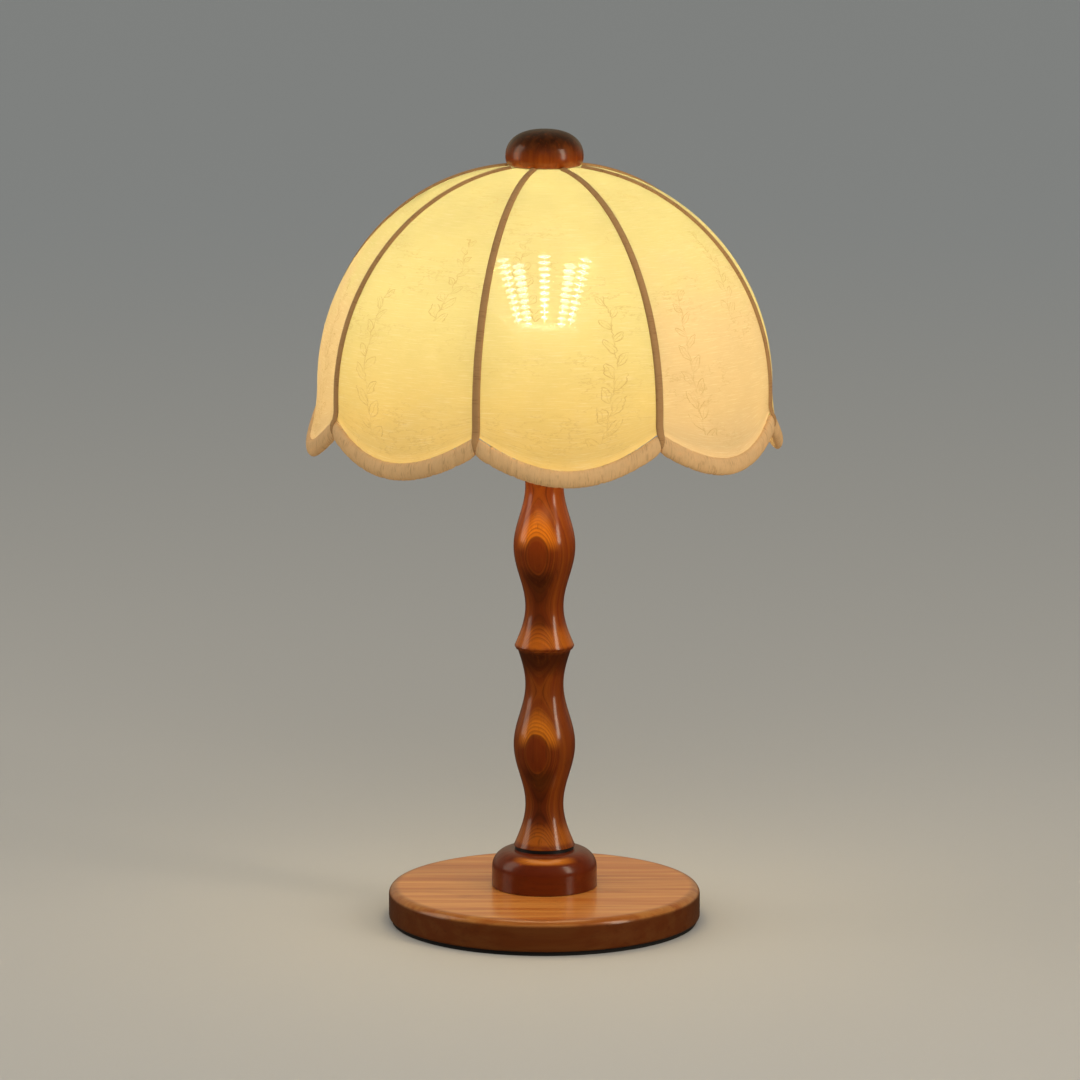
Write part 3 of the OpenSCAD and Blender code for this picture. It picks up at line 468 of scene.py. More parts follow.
def shade_cloth(colours, flat_length):
    """Slubbed fabric that lets the bulb's light through, with a faint printed sprig on each panel."""
    finish = Finish("shade_cloth")
    across_all, along = finish.flat()
    apart, long = PANEL_APART / MM, flat_length / MM
    panel = (across_all / apart + 0.5).floor()
    across = across_all - panel * apart
    mirror = (panel / 2.0).fract() * 4.0 - 1.0

    # Threads: fine weave, thicker slubs that run across, and soft clouds
    weft_pitch, warp_pitch, crown_reach = 0.9, 0.8, 150.0
    weave = (across * (math.tau / weft_pitch)).sin() * (along * (math.tau / warp_pitch)).sin()
    slub = finish.noise_at(across_all * 0.07, along * 1.5, panel, 3.0, 0.6)
    fine = finish.noise_at(across_all * 0.4, along * 2.8, panel)
    cloud = finish.noise_at(across_all * 0.03, along * 0.035, panel)
    low = finish.step(along, 0.55 * long, long)
    base = finish.mix(low * 0.65, colours.cloth, colours.cloth_low)
    third = (panel * (math.tau / 3)).cos().most(0.0)
    blush = finish.step(along + (cloud - 0.5) * 90.0, 0.35 * long, 0.7 * long)
    base = finish.mix(blush * third * 0.8, base, colours.cloth_blush)
    base = finish.mix(finish.step(slub, 0.5, 0.72) * 0.35, base, colours.thread)
    thin = finish.step(slub, 0.44, 0.26)
    # Painted shade: the cloth is darker towards the top, nearest the bulb
    painted_top_shade = finish.step(along, crown_reach, 0.0)
    uneven = (fine - 0.5) * 0.05 + (cloud - 0.5) * 0.14
    base = finish.tint(base, 1.0 - painted_top_shade * 0.42 - thin * 0.04 + uneven)

    # Painted shade of creases: fine wandering dark lines, in patches
    wander = finish.noise_at(across_all * 0.045, along * 0.13, panel, 4.0, 0.6)
    patch = finish.step(finish.noise_at(across_all * 0.02, along * 0.03, panel + 7.0), 0.45, 0.62)
    painted_crease_shade = finish.step(abs(wander - 0.5), 0.016, 0.004) * patch

    # Print: a tall sprig from the hem and a smaller one higher up, mirrored on every other panel
    hem_gap, higher = 14.0, 74.0
    up = long - hem_gap - along
    sway = (wander - 0.5) * 9.0
    tall = sprig(finish, across * mirror - 20.0 + sway, up, panel,
                 tall=92.0, bend=9.0, leaf=19.0, pitch=15.0, line=0.42)
    small = sprig(finish, across * mirror + 19.0 - sway, up - higher, panel + 40.0,
                  tall=58.0, bend=-7.0, leaf=14.0, pitch=11.0, line=0.38)
    worn = finish.step(finish.noise_at(across_all * 0.12, along * 0.12, panel), 0.32, 0.62)
    # The painted crease shade is drawn in the print's colour too
    lines = (tall.most(small) * (0.08 + worn * 0.4)).most(painted_crease_shade * 0.22)
    base = finish.mix(lines, base, colours.print_line)

    # Painted light: a faint glow over all the cloth, brighter just above the hem
    painted_hem_light = finish.step(along, long - 8.0, long - 1.0)
    height = slub * 0.7 + weave * 0.05 + fine * 0.3
    cloth = finish.principled(
        base_color=base, roughness=0.9, specular_ior_level=0.15, normal=finish.bump(height, 0.1 * MM, 0.5),
        emission_color=finish.tint(base, 0.08 + painted_hem_light * 0.5), emission_strength=1.0)
    glow = finish.node("BsdfTranslucent", None, {"Color": base})
    body = finish.shader_mix(0.74, cloth, glow)
    gap = 0.03 + finish.step(fine, 0.3, 0.75) * 0.05
    clear = finish.node("BsdfTransparent")
    return finish.done(finish.shader_mix(gap, body, clear))


def trim_cloth(name, tone, through):
    """Rolled or piped fabric: across runs round it and along runs down its length."""
    finish = Finish(name)
    across, along = finish.flat()
    fibre = finish.noise_at(along * 1.1, across * 0.16, 0.0, 3.0, 0.6)
    mottle = finish.noise_at(along * 0.08, across * 0.12, 3.0)
    strand = finish.noise_at(along * 0.5, across * 0.035, 5.0)
    broken = finish.step(finish.noise_at(along * 0.2, across * 0.16, 9.0), 0.46, 0.62)
    hair = finish.step(abs(strand - 0.5), 0.035, 0.008) * broken
    deep = darker(tone, 0.5, 0.42, 0.36)
    base = finish.mix(finish.step(fibre, 0.5, 0.76) * 0.4, tone, deep)
    base = finish.mix(hair * 0.42, base, deep)
    base = finish.tint(base, 1.0 + (fibre - 0.5) * 0.25 + (mottle - 0.5) * 0.2)
    normal = finish.bump(fibre * 0.7 - hair * 0.3, 0.3 * MM, 0.7)
    cloth = finish.principled(base_color=base, roughness=0.85, specular_ior_level=0.2, normal=normal)
    glow = finish.node("BsdfTranslucent", None, {"Color": base})
    return finish.done(finish.shader_mix(through, cloth, glow))


def worn_metal(name, tone, rough, brushed):
    """Metal with faint clouds of tarnish and fine scratches."""
    finish = Finish(name)
    point, (x, y, z) = finish.place()
    cloud = finish.noise(point, 0.09, 3.0)
    scratch = finish.noise_at(x * 0.5, y * 0.5, z * (0.5 + brushed * 7.0), 3.0)
    base = finish.mix(finish.step(cloud, 0.45, 0.75) * 0.4, tone, darker(tone, 0.55, 0.55, 0.55))
    return finish.done(finish.principled(
        base_color=base, metallic=1.0, roughness=rough + cloud * 0.12 + scratch * 0.08,
        normal=finish.bump(scratch, 0.02 * MM, 0.5)))


def moulded(name, tone, scale=1.2, rough=0.5, depth=0.04):
    """Moulded plastic, rubber or fibre with a fine grain."""
    finish = Finish(name)
    point, _ = finish.place()
    fine = finish.noise(point, scale, 3.0)
    cloud = finish.noise(point, 0.05, 2.0)
    pale = (*(min(1.0, 1.5 * part + 0.01) for part in tone[:3]), 1.0)
    base = finish.tint(finish.mix(fine * 0.3, tone, pale), 0.85 + cloud * 0.3)
    return finish.done(finish.principled(
        base_color=base, roughness=rough + (fine - 0.5) * 0.15, normal=finish.bump(fine, depth * MM, 0.6)))


def clear_glass(name, tone, haze):
    """Thin glass that lets light straight through, brighter at its rims."""
    finish = Finish(name)
    point, _ = finish.place()
    cloud = finish.noise(point, 0.06, 2.0)
    gloss = finish.principled(base_color=tone, roughness=0.04 + cloud * 0.03, specular_ior_level=0.6)
    rim = finish.node("LayerWeight", None, {"Blend": 0.25}, out="Facing")
    share = rim ** 3.0 * 0.5 + haze
    return finish.done(finish.shader_mix(share, finish.node("BsdfTransparent"), gloss))


def glowing(name, tone, strength):
    """Glowing beads with brighter specks."""
    finish = Finish(name)
    point, _ = finish.place()
    speck = finish.noise(point, 1.4, 2.0)
    light = finish.tint(finish.mix(speck * 0.3, tone, (1.0, 1.0, 1.0, 1.0)), 0.85 + speck * 0.3)
    return finish.done(finish.principled(
        base_color=tone, roughness=0.6, emission_color=light, emission_strength=strength))


# Modelling

def start():
    """Leave every object unselected, so that the next primitive stands alone."""
    if bpy.context.mode != "OBJECT":
        bpy.ops.object.mode_set(mode="OBJECT")
    bpy.ops.object.select_all(action="DESELECT")


def pick(*pieces):
    """Select these pieces alone, with the first one active."""
    start()
    for piece in pieces:
        piece.select_set(True)
    bpy.context.view_layer.objects.active = pieces[0]


def named(name):
    piece = bpy.context.object
    piece.name = name
    piece.data.name = name
    return piece


def smooth(piece, angle=32.0):
    pick(piece)
    bpy.ops.object.shade_smooth_by_angle(angle=math.radians(angle))
    return piece


def soften(piece, width, angle=35.0):
    """Bevel the sharp edges of a piece."""
    pick(piece)
    bevel = piece.modifiers.new("Soft edges", "BEVEL")
    bevel.width = width
    bevel.segments = 3
    bevel.limit_method = "ANGLE"
    bevel.angle_limit = math.radians(angle)
    bpy.ops.object.modifier_apply(modifier=bevel.name)
    return piece


def close_up():
    """In edit mode: merge what meets, drop loose edges and turn the faces outwards."""
    bpy.ops.mesh.select_all(action="SELECT")
    bpy.ops.mesh.remove_doubles(threshold=MERGE)
    bpy.ops.mesh.dissolve_degenerate(threshold=MERGE)
    bpy.ops.mesh.delete_loose()
    bpy.ops.mesh.select_all(action="SELECT")
    bpy.ops.mesh.normals_make_consistent(inside=False)


def turned(name, outline, edge=0.0, steps=TURN_STEPS):
    """Spin a closed outline of (radius, height) points round the Z axis."""
    start()
    bpy.ops.mesh.primitive_circle_add(vertices=len(outline), fill_type="NOTHING")
    piece = named(name)
    for vertex, (radius, height) in zip(piece.data.vertices, outline):
        vertex.co = (radius, 0.0, height)
    bpy.ops.object.mode_set(mode="EDIT")
    bpy.ops.mesh.select_all(action="SELECT")
    bpy.ops.mesh.spin(steps=steps, angle=math.tau, center=(0, 0, 0), axis=(0, 0, 1))
    close_up()
    bpy.ops.object.mode_set(mode="OBJECT")
    if edge:
        soften(piece, edge)
    return smooth(piece)


def laid_grid(name, columns, rows, point, flat, closed=False):
    """A grid laid on a surface: point and flat take its u and v, each from -1 to 1."""
    start()
    bpy.ops.mesh.primitive_grid_add(x_subdivisions=columns, y_subdivisions=rows, size=2.0)
    piece = named(name)
    mesh = piece.data
    places = [(vertex.co.x, vertex.co.y) for vertex in mesh.vertices]
    cloth_map = mesh.uv_layers.active
    for loop in mesh.loops:
        cloth_map.data[loop.index].uv = flat(*places[loop.vertex_index])
    for vertex, (u, v) in zip(mesh.vertices, places):
        vertex.co = point(u, v)
    bpy.ops.object.mode_set(mode="EDIT")
    if closed:
        bpy.ops.mesh.select_all(action="SELECT")
        bpy.ops.mesh.remove_doubles(threshold=MERGE)
        bpy.ops.mesh.select_non_manifold(extend=False)
        bpy.ops.mesh.fill_holes(sides=0)
        close_up()
    bpy.ops.object.mode_set(mode="OBJECT")
    return piece


def arc(radius_mid, height_mid, bend, first, last, steps=10):
    """Points of an arc, with its angles in degrees."""
    return [(radius_mid + bend * math.cos(math.radians(first + (last - first) * i / steps)),
             height_mid + bend * math.sin(math.radians(first + (last - first) * i / steps)))
            for i in range(steps + 1)]


def swell(r0, z0, r1, z1, steps=40):
    """From one upright tangent to another, as between a neck and a swelling."""
    return [(r0 + (r1 - r0) * (1 - math.cos(math.pi * i / steps)) / 2, z0 + (z1 - z0) * i / steps)
            for i in range(steps + 1)]


def flare(r0, z0, r1, z1, steps=28):
    """From an upright neck to an edge that flares."""
    return [(r0 + (r1 - r0) * (1 - math.cos(math.pi / 2 * i / steps)), z0 + (z1 - z0) * i / steps)
            for i in range(steps + 1)]


def trimmed(points):
    """Points without those that repeat their neighbour."""
    kept = [points[0]]
    for point in points[1:]:
        if math.dist(point, kept[-1]) > 0.005 * MM:
            kept.append(point)
    return kept


def gathered(value, begin):
    """0 up to begin, then rising ever faster to 1 at 1."""
    return max(0.0, (value - begin) / (1 - begin)) ** 2


def settle(piece, body, slot, material, *nodes):
    """Give a finished piece its material and body, in place of its CAD nodes."""
    piece.data.materials.clear()
    piece.data.materials.append(material)
    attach(piece, body)
    if nodes:
        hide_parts(*nodes)
    return piece


def repaint(material, *nodes):
    """Give CAD nodes that stay a better material."""
    for node in nodes:
        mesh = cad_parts[node].data
        mesh.materials.clear()
        mesh.materials.append(material)


# The shade's plan, shared by its fabric, piping and binding

def shade_plan():
    sizes = bpy.context.scene.lamp_shade
    plan = SimpleNamespace(sizes=sizes)
    plan.half = math.pi / sizes.panel_count
    plan.dome_out = reach("rib_piping_1") - sizes.dome_radius
    plan.fabric_radius = sizes.dome_radius - sizes.piping_height - sizes.layer
    plan.rim = reach("hem_binding_1") - sizes.binding_depth / 2
    plan.top_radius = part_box("top_plate")[1].x + PLATE_GAP
    plan.z_notch = floor_of("rib_piping_1") - sizes.layer
    plan.z_notch -= half_height(plan, 1.0, sizes.binding_height)
    plan.z_wide = plan.z_notch + sizes.skirt
    plan.top_angle = math.acos((plan.top_radius - plan.dome_out) / plan.fabric_radius)
    return plan


def hem_arch(u):
    return (math.cos(math.pi / 2 * u) + 1 - u * u) / 2


def hem_lean(plan, u):
    slope = -(math.pi / 2 * math.sin(math.pi / 2 * u) + 2 * u) / 2
    return math.atan(plan.sizes.drop * slope / (plan.rim * plan.half))


def half_height(plan, u, height):
    """Half of the hem's upright height at u, where it leans."""
    return height / 2 / math.cos(hem_lean(plan, u))


def hem_height(plan, u):
    return plan.z_notch - plan.sizes.drop * hem_arch(u)


def panel_middle(plan, k):
    """Angle of the middle of panel k, counted from 0."""
    return plan.sizes.rib_phase + (2 * k + 1) * plan.half


def panel_place(plan, middle, u, share):
    """Point of a panel: u runs from -1 to 1 across it, share from 0 at the top to 1 at the hem."""
    sizes = plan.sizes
    dome = plan.fabric_radius * plan.top_angle
    skirt = plan.z_wide - hem_height(plan, 0.0) - sizes.binding_height / 2
    turn_over = dome / (dome + skirt)
    edge = hem_height(plan, u) + half_height(plan, u, sizes.binding_height) - HEM_TUCK
    if share <= turn_over:
        angle = plan.top_angle * (1 - share / turn_over)
        rib = plan.dome_out + plan.fabric_radius * math.cos(angle)
        height = plan.z_wide + plan.fabric_radius * math.sin(angle)
        ease = 0.0
    else:
        down = (share - turn_over) / (1 - turn_over)
        rib = plan.dome_out + plan.fabric_radius
        height = plan.z_wide + (edge - plan.z_wide) * down
        ease = down ** 2
    bulge = sizes.bulge + (1 - sizes.bulge) * ease
    rounding = bulge + (1 - bulge) * math.cos(plan.half) / math.cos(plan.half * u)
    radius = rib * rounding + sizes.binding_out * ease * (1 - u * u) ** 2
    angle = middle + (plan.half - sizes.seam) * u
    return radius, angle, height


# Operators

class LAMP_OT_base(bpy.types.Operator):
    """Turn and drill the base disc, and finish the pad and the grommet"""

    bl_idname = "lamp.base"
    bl_label = "Base"

    def execute(self, context):
        sizes = context.scene.lamp_wood
        tones = context.scene.lamp_colours
        radius = reach("base_disc")
        low, high = floor_of("base_disc"), top_of("base_disc")
        edge, foot = sizes.base_edge, sizes.base_foot
        outline = [(sizes.tube_hole, high), (radius - edge - 2 * MM, high)]
        outline += arc(radius - edge, high - edge, edge, 90, 0, 14)
        outline += [(radius, low + foot + 1 * MM)]
        outline += arc(radius - foot, low + foot, foot, 0, -90, 6)
        hollow, ceiling = radius - sizes.base_rim, sizes.hollow_ceiling
        outline += [(hollow, low), (hollow, ceiling), (sizes.tube_hole, ceiling)]
        disc = turned("base_board", outline)
        self.drill(disc, sizes)
        grain_tones = (tones.base_dark, tones.base_mid, tones.base_light)
        wood = board_wood("base_wood", grain_tones, tones.base_side_painted_shade, radius, high)
        settle(disc, "lamp", "base_wood", wood, "base_disc")
        repaint(moulded("pad_felt", paint("#14110E"), scale=1.6, rough=0.9, depth=0.15), "base_pad")
        repaint(moulded("soft_rubber", paint("#1B1815"), scale=0.9, rough=0.6), "cord_grommet")
        return {"FINISHED"}

    def drill(self, disc, sizes):
        """Bore the cord's hole through the back of the disc."""
        low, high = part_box("cord_grommet")
        start()
        bpy.ops.mesh.primitive_cylinder_add(
            vertices=48, radius=sizes.cord_hole, depth=60 * MM, rotation=(math.pi / 2, 0, 0),
            location=(0, high.y - sizes.base_rim / 2, (low.z + high.z) / 2))
        drill = named("cord_drill")
        pick(disc)
        cut = disc.modifiers.new("Cord hole", "BOOLEAN")
        cut.operation = "DIFFERENCE"
        cut.object = drill
        bpy.ops.object.modifier_apply(modifier=cut.name)
        bpy.data.objects.remove(drill)
        smooth(disc)


class LAMP_OT_stem(bpy.types.Operator):
    """Turn the collar and the two pieces of the stem, and finish the washer"""

    bl_idname = "lamp.stem"
    bl_label = "Stem"

    def execute(self, context):
        sizes = context.scene.lamp_wood
        colours = context.scene.lamp_colours
        swelling = reach("lower_stem")
        z_foot = top_of("stem_washer")
        z_joint = floor_of("upper_stem")
        z_low = z_foot + sizes.foot_height + sizes.swell_height
        z_high = z_joint + sizes.lip_height + sizes.lip_flare + sizes.swell_height
        tones = (colours.wood_dark, colours.wood_mid, colours.wood_light, colours.wood_arch_and_painted_light)
        wood = stem_wood("stem_wood", tones, z_low, z_high)
        tones = (colours.wood_dark, colours.collar, colours.wood_mid, colours.wood_arch_and_painted_light)
        dark_wood = collar_wood("collar_wood", tones, top_of("collar"))
        settle(self.collar(sizes), "lamp", "stem_wood", dark_wood, "collar")
        lower = self.lower(sizes, swelling, z_foot, z_low, z_joint)
        settle(lower, "lamp", "stem_wood", wood, "lower_stem")
        upper = self.upper(sizes, swelling, z_joint, z_high)
        settle(upper, "lamp", "stem_wood", wood, "upper_stem")
        repaint(moulded("washer_black", paint("#120F0C"), rough=0.45), "stem_washer")
        return {"FINISHED"}

    def collar(self, sizes):
        radius = reach("collar")
        low, high = floor_of("collar"), top_of("collar")
        shoulder = sizes.collar_round
        hole = sizes.tenon + sizes.fit
        outline = [(sizes.tube_hole, low), (radius - 0.5 * MM, low), (radius, low + 0.5 * MM),
                   (radius, high - shoulder - 1 * MM)]
        outline += arc(radius - shoulder, high - shoulder, shoulder, 0, 90, 24)
        seat = high - sizes.tenon_length
        outline += [(hole, high), (hole, seat), (sizes.tube_hole, seat)]
        return turned("collar_turned", outline)

    def lower(self, sizes, swelling, z_foot, z_swell, z_top):
        low, high = floor_of("lower_stem"), top_of("lower_stem")
        outline = [(sizes.tube_hole, low), (sizes.tenon, low), (sizes.tenon, z_foot)]
        outline += self.baluster(sizes, (swelling, z_foot), (swelling, z_swell), (sizes.lower_top, z_top))
        outline += [(sizes.tenon, z_top), (sizes.tenon, high), (sizes.tube_hole, high)]
        return turned("lower_stem_turned", trimmed(outline), edge=0.5 * MM)

    def upper(self, sizes, swelling, z_low, z_swell):
        high = top_of("upper_stem")
        hole = sizes.tenon + sizes.fit
        socket_top = top_of("lower_stem") + sizes.fit
        outline = [(sizes.tube_hole, socket_top), (hole, socket_top), (hole, z_low),
                   (sizes.lip - sizes.lip_height / 2, z_low)]
        lip = (sizes.lip, z_low + sizes.lip_height)
        outline += self.baluster(sizes, lip, (swelling, z_swell), (sizes.stem_top, high))
        outline += [(sizes.tube_hole, high)]
        return turned("upper_stem_turned", trimmed(outline), edge=0.35 * MM)

    def baluster(self, sizes, foot, middle, top):
        """Radius and height from a flared foot over a neck, a swelling and a neck to a flared top."""
        low_neck = (sizes.neck, middle[1] - sizes.swell_height)
        high_neck = (sizes.neck, middle[1] + sizes.swell_height)
        return [*reversed(flare(*low_neck, *foot)), *swell(*low_neck, *middle),
                *swell(*middle, *high_neck), *flare(*high_neck, *top)]


class LAMP_OT_finial(bpy.types.Operator):
    """Turn the knob on top of the shade"""

    bl_idname = "lamp.finial"
    bl_label = "Finial"

    def execute(self, context):
        sizes = context.scene.lamp_wood
        colours = context.scene.lamp_colours
        low, high = floor_of("finial_knob"), top_of("finial_knob")
        wide = reach("finial_knob")
        z_wide = low + sizes.knob_wide
        power = 2 / sizes.knob_square
        hole_top = top_of("finial_insert") + sizes.fit
        outline = [(0.0, hole_top), (sizes.insert_hole, hole_top), (sizes.insert_hole, low)]
        under_steps, over_steps = 12, 48
        for i in range(under_steps + 1):
            turn = math.pi / 2 * i / under_steps
            outline.append((sizes.knob_foot + (wide - sizes.knob_foot) * math.sin(turn),
                            z_wide - sizes.knob_wide * math.cos(turn)))
        for i in range(1, over_steps + 1):
            turn = math.pi / 2 * i / over_steps
            outline.append((wide * max(math.cos(turn), 0.0) ** power,
                            z_wide + (high - z_wide) * math.sin(turn) ** power))
        outline[-1] = (0.0, high)
        knob = turned("finial_turned", trimmed(outline))
        tones = (colours.knob_dark, colours.knob_mid, colours.knob_light)
        wood = knob_wood("finial_wood", tones, low, high)
        settle(knob, "finial", "finial_wood", wood, "finial_knob")
        return {"FINISHED"}


class LAMP_OT_fabric(bpy.types.Operator):
    """Stretch the fabric panels over the shade's frame, once their piping and binding are there"""

    bl_idname = "lamp.fabric"
    bl_label = "Fabric panels"

    def execute(self, context):
        plan = shade_plan()
        long = plan.fabric_radius * plan.top_angle
        long += plan.z_wide - hem_height(plan, 0.0) - plan.sizes.binding_height / 2
        cloth = shade_cloth(context.scene.lamp_colours, long)
        for k, name in enumerate(PANEL_NAMES):
            panel = self.panel(plan, k, f"fabric_panel_{k + 1}", long)
            settle(panel, "shade", "shade_fabric", cloth, name)
            smooth(panel, 80.0)
        return {"FINISHED"}

    def panel(self, plan, k, name, long):
        middle = panel_middle(plan, k)

        def pucker(u, share):
            """Small gathers beside the seams and over the hem."""
            seam = gathered(abs(u), 0.86)
            hem = gathered(share, 0.93)
            ripple = math.sin(share * 137 + 2.3 * k) + 0.6 * math.sin(share * 241 + 1.1 * k + u)
            gather = math.sin(u * 43 + 1.7 * k) + 0.7 * math.sin(u * 71 + 0.9 * k)
            sag = math.sin(3.1 * u + k) * math.sin(7.3 * share + 2 * k)
            beside_seam = 0.10 * seam * ripple * (1 - seam) * 4
            over_hem = 0.10 * hem * gather
            return (beside_seam + over_hem + 0.22 * sag * (1 - u * u)) * MM

        def point(u, v):
            share = (1 - v) / 2
            radius, angle, height = panel_place(plan, middle, u, share)
            radius += pucker(u, share)
            return radius * math.cos(angle), radius * math.sin(angle), height

        def flat(u, v):
            share = (1 - v) / 2
            radius, angle, _ = panel_place(plan, middle, u, share)
            return k * PANEL_APART + radius * (angle - middle), share * long

        return laid_grid(name, *PANEL_GRID, point, flat)


class LAMP_OT_piping(bpy.types.Operator):
    """Lay the piping over the seams between the panels"""

    bl_idname = "lamp.piping"
    bl_label = "Piping"

    def execute(self, context):
        plan = shade_plan()
        cloth = trim_cloth("piping_cloth", context.scene.lamp_colours.piping, 0.15)
        for k, name in enumerate(PIPING_NAMES):
            strip = self.strip(plan, k, f"seam_piping_{k + 1}")
            settle(strip, "shade", "piping_fabric", cloth, name)
            smooth(strip, 50.0)
        return {"FINISHED"}

    def strip(self, plan, k, name):
        """A D-shaped strip from the knob's edge down the rib, with a tail between two bindings."""
        sizes = plan.sizes
        turn = sizes.rib_phase + 2 * k * plan.half
        surface = sizes.dome_radius - sizes.piping_height
        top_angle = math.acos((reach("finial_knob") - plan.dome_out) / sizes.dome_radius)
        dome = sizes.dome_radius * top_angle
        skirt = plan.z_wide - floor_of("rib_piping_1")
        long = dome + skirt + sizes.piping_tail

        def point(u, v):
            along = long * (1 - v) / 2
            around = math.pi * (u + 1)
            angle = top_angle * max(0.0, 1 - along / dome)
            down = max(0.0, along - dome)
            tail = max(0.0, (along - dome - skirt) / sizes.piping_tail)
            slim = (0.8 + 0.2 * min(1.0, along / dome)) * (1 - 0.72 * tail ** 1.4)
            over = self.tail_rise(plan, plan.z_wide - down)
            rise = max(math.sin(around), 0.0) ** 0.8 * sizes.piping_height * (1 - 0.55 * tail)
            lean = math.cos(around)
            side = math.copysign(abs(lean) ** 0.9, lean) * sizes.piping_width / 2 * slim
            out = plan.dome_out + (surface + rise) * math.cos(angle) + over
            height = plan.z_wide + (surface + rise) * math.sin(angle) - down
            return (out * math.cos(turn) - side * math.sin(turn),
                    out * math.sin(turn) + side * math.cos(turn), height)

        def flat(u, v):
            return sizes.piping_width * u, k * PIPING_APART + long * (1 - v) / 2

        return laid_grid(name, *PIPING_GRID, point, flat, closed=True)

    def tail_rise(self, plan, height):
        """How far the strip stands out from the rib to lie over the sewn ends of the bindings."""
        sizes = plan.sizes
        half = half_height(plan, 1.0, sizes.binding_height) * SEWN_HEIGHT
        share = (height - plan.z_notch) / half
        ramp = max(0.0, min(1.0, (2.2 - share) / 1.2))
        base = plan.rim - plan.dome_out - sizes.dome_radius + sizes.piping_height
        roll = sizes.binding_depth / 2 * SEWN_DEPTH * math.sqrt(max(0.0, 1 - min(1.0, share) ** 2))
        return ramp * ramp * (3 - 2 * ramp) * base + (roll if share < 1 else 0.0)


class LAMP_OT_binding(bpy.types.Operator):
    """Roll the binding round the scalloped hem"""

    bl_idname = "lamp.binding"
    bl_label = "Hem binding"

    def execute(self, context):
        plan = shade_plan()
        cloth = trim_cloth("binding_cloth", context.scene.lamp_colours.binding, 0.25)
        for k, name in enumerate(BINDING_NAMES):
            roll = self.roll(plan, k, f"rolled_hem_{k + 1}")
            settle(roll, "shade", "binding_fabric", cloth, name)
            smooth(roll, 60.0)
        return {"FINISHED"}

    def roll(self, plan, k, name):
        sizes = plan.sizes
        middle = panel_middle(plan, k)
        end = 1 - sizes.seam / plan.half
        creases = [(-0.92 + 0.17 * j + 0.07 * math.sin(12.9 * k + 7.1 * j),
                    0.5 + 0.5 * math.sin(5.3 * k + 3.7 * j)) for j in range(12)]

        def pinch(u):
            """Share of its size that the roll loses in its creases."""
            fold = sum((0.015 + 0.055 * deep) * math.exp(-((u - place) / (0.012 + 0.01 * deep)) ** 2)
                       for place, deep in creases)
            ripple = 0.010 * math.sin(96 * u + 4 * k) + 0.007 * math.sin(171 * u + 2.2 * k)
            return fold + ripple

        def point(u, v):
            u = u * end
            around = math.pi * v
            slim = 1 - max(0.0, pinch(u + 0.012 * math.sin(around + k)) + 0.012)
            sewn = gathered(abs(u), 0.9)
            thin = slim * (1 - (1 - SEWN_DEPTH) * sewn)
            low = slim * (1 - (1 - SEWN_HEIGHT) * sewn)
            radius = plan.rim + sizes.binding_depth / 2 * thin * math.cos(around)
            half = half_height(plan, u, sizes.binding_height) * low
            height = hem_height(plan, u) - half * math.sin(around)
            angle = middle + plan.half * u
            return radius * math.cos(angle), radius * math.sin(angle), height

        def flat(u, v):
            girth = math.pi * (sizes.binding_depth + sizes.binding_height) / 2
            slant = 1.12
            return girth / 2 * v, k * BINDING_APART + plan.rim * plan.half * u * slant

        return laid_grid(name, *BINDING_GRID, point, flat, closed=True)


class LAMP_OT_bulb(bpy.types.Operator):
    """Finish the bulb's glass, filaments and screw cap"""

    bl_idname = "lamp.bulb"
    bl_label = "Bulb"

    def execute(self, context):
        colours = context.scene.lamp_colours
        repaint(clear_glass("bulb_glass", (1.0, 0.97, 0.9, 1.0), 0.02), "bulb_globe", "bulb_stem")
        strands = self.filaments(context.scene.lamp_bulb)
        glow = glowing("filament_glow", colours.bulb, strength=7.5)
        settle(strands, "bulb", "filament", glow, "bulb_filaments")
        repaint(worn_metal("cap_metal", colours.steel, rough=0.3, brushed=0.5), "bulb_cap")
        repaint(moulded("cap_insulator", paint("#171412"), scale=0.8, rough=0.3), "bulb_foot")
        return {"FINISHED"}

    def filaments(self, sizes):
        """Strands of glowing beads that spread upwards from the glass stem."""
        foot = Vector((sizes.foot, 0, floor_of("bulb_filaments") + 0.2 * MM))
        top = Vector((sizes.top, 0, top_of("bulb_filaments") - 0.4 * MM))
        lean = (top - foot).to_track_quat("Z", "Y").to_euler()
        start()
        bpy.ops.mesh.primitive_cylinder_add(vertices=12, radius=sizes.wire, depth=(top - foot).length,
                                            location=(foot + top) / 2, rotation=lean)
        strand = [bpy.context.object]
        for i in range(sizes.beads):
            share = (i + 0.7) / (sizes.beads + 0.4)
            width = 0.68 + 0.5 * share
            bpy.ops.mesh.primitive_uv_sphere_add(
                segments=20, ring_count=10, radius=sizes.bead, rotation=lean,
                scale=(width, width, sizes.bead_flat), location=foot.lerp(top, share))
            strand.append(bpy.context.object)
        pick(*strand)
        bpy.ops.object.join()
        bpy.ops.object.transform_apply(location=True, rotation=True, scale=True)
        ring = named("filament_strands")
        bpy.ops.object.mode_set(mode="EDIT")
        bpy.ops.mesh.select_all(action="SELECT")
        step = math.tau / sizes.strands
        bpy.ops.transform.rotate(value=-0.25 * step, orient_axis="Z", center_override=(0, 0, 0))
        for _ in range(sizes.strands - 1):
            bpy.ops.mesh.duplicate()
            bpy.ops.transform.rotate(value=-step, orient_axis="Z", center_override=(0, 0, 0))
        bpy.ops.object.mode_set(mode="OBJECT")
        return smooth(ring)


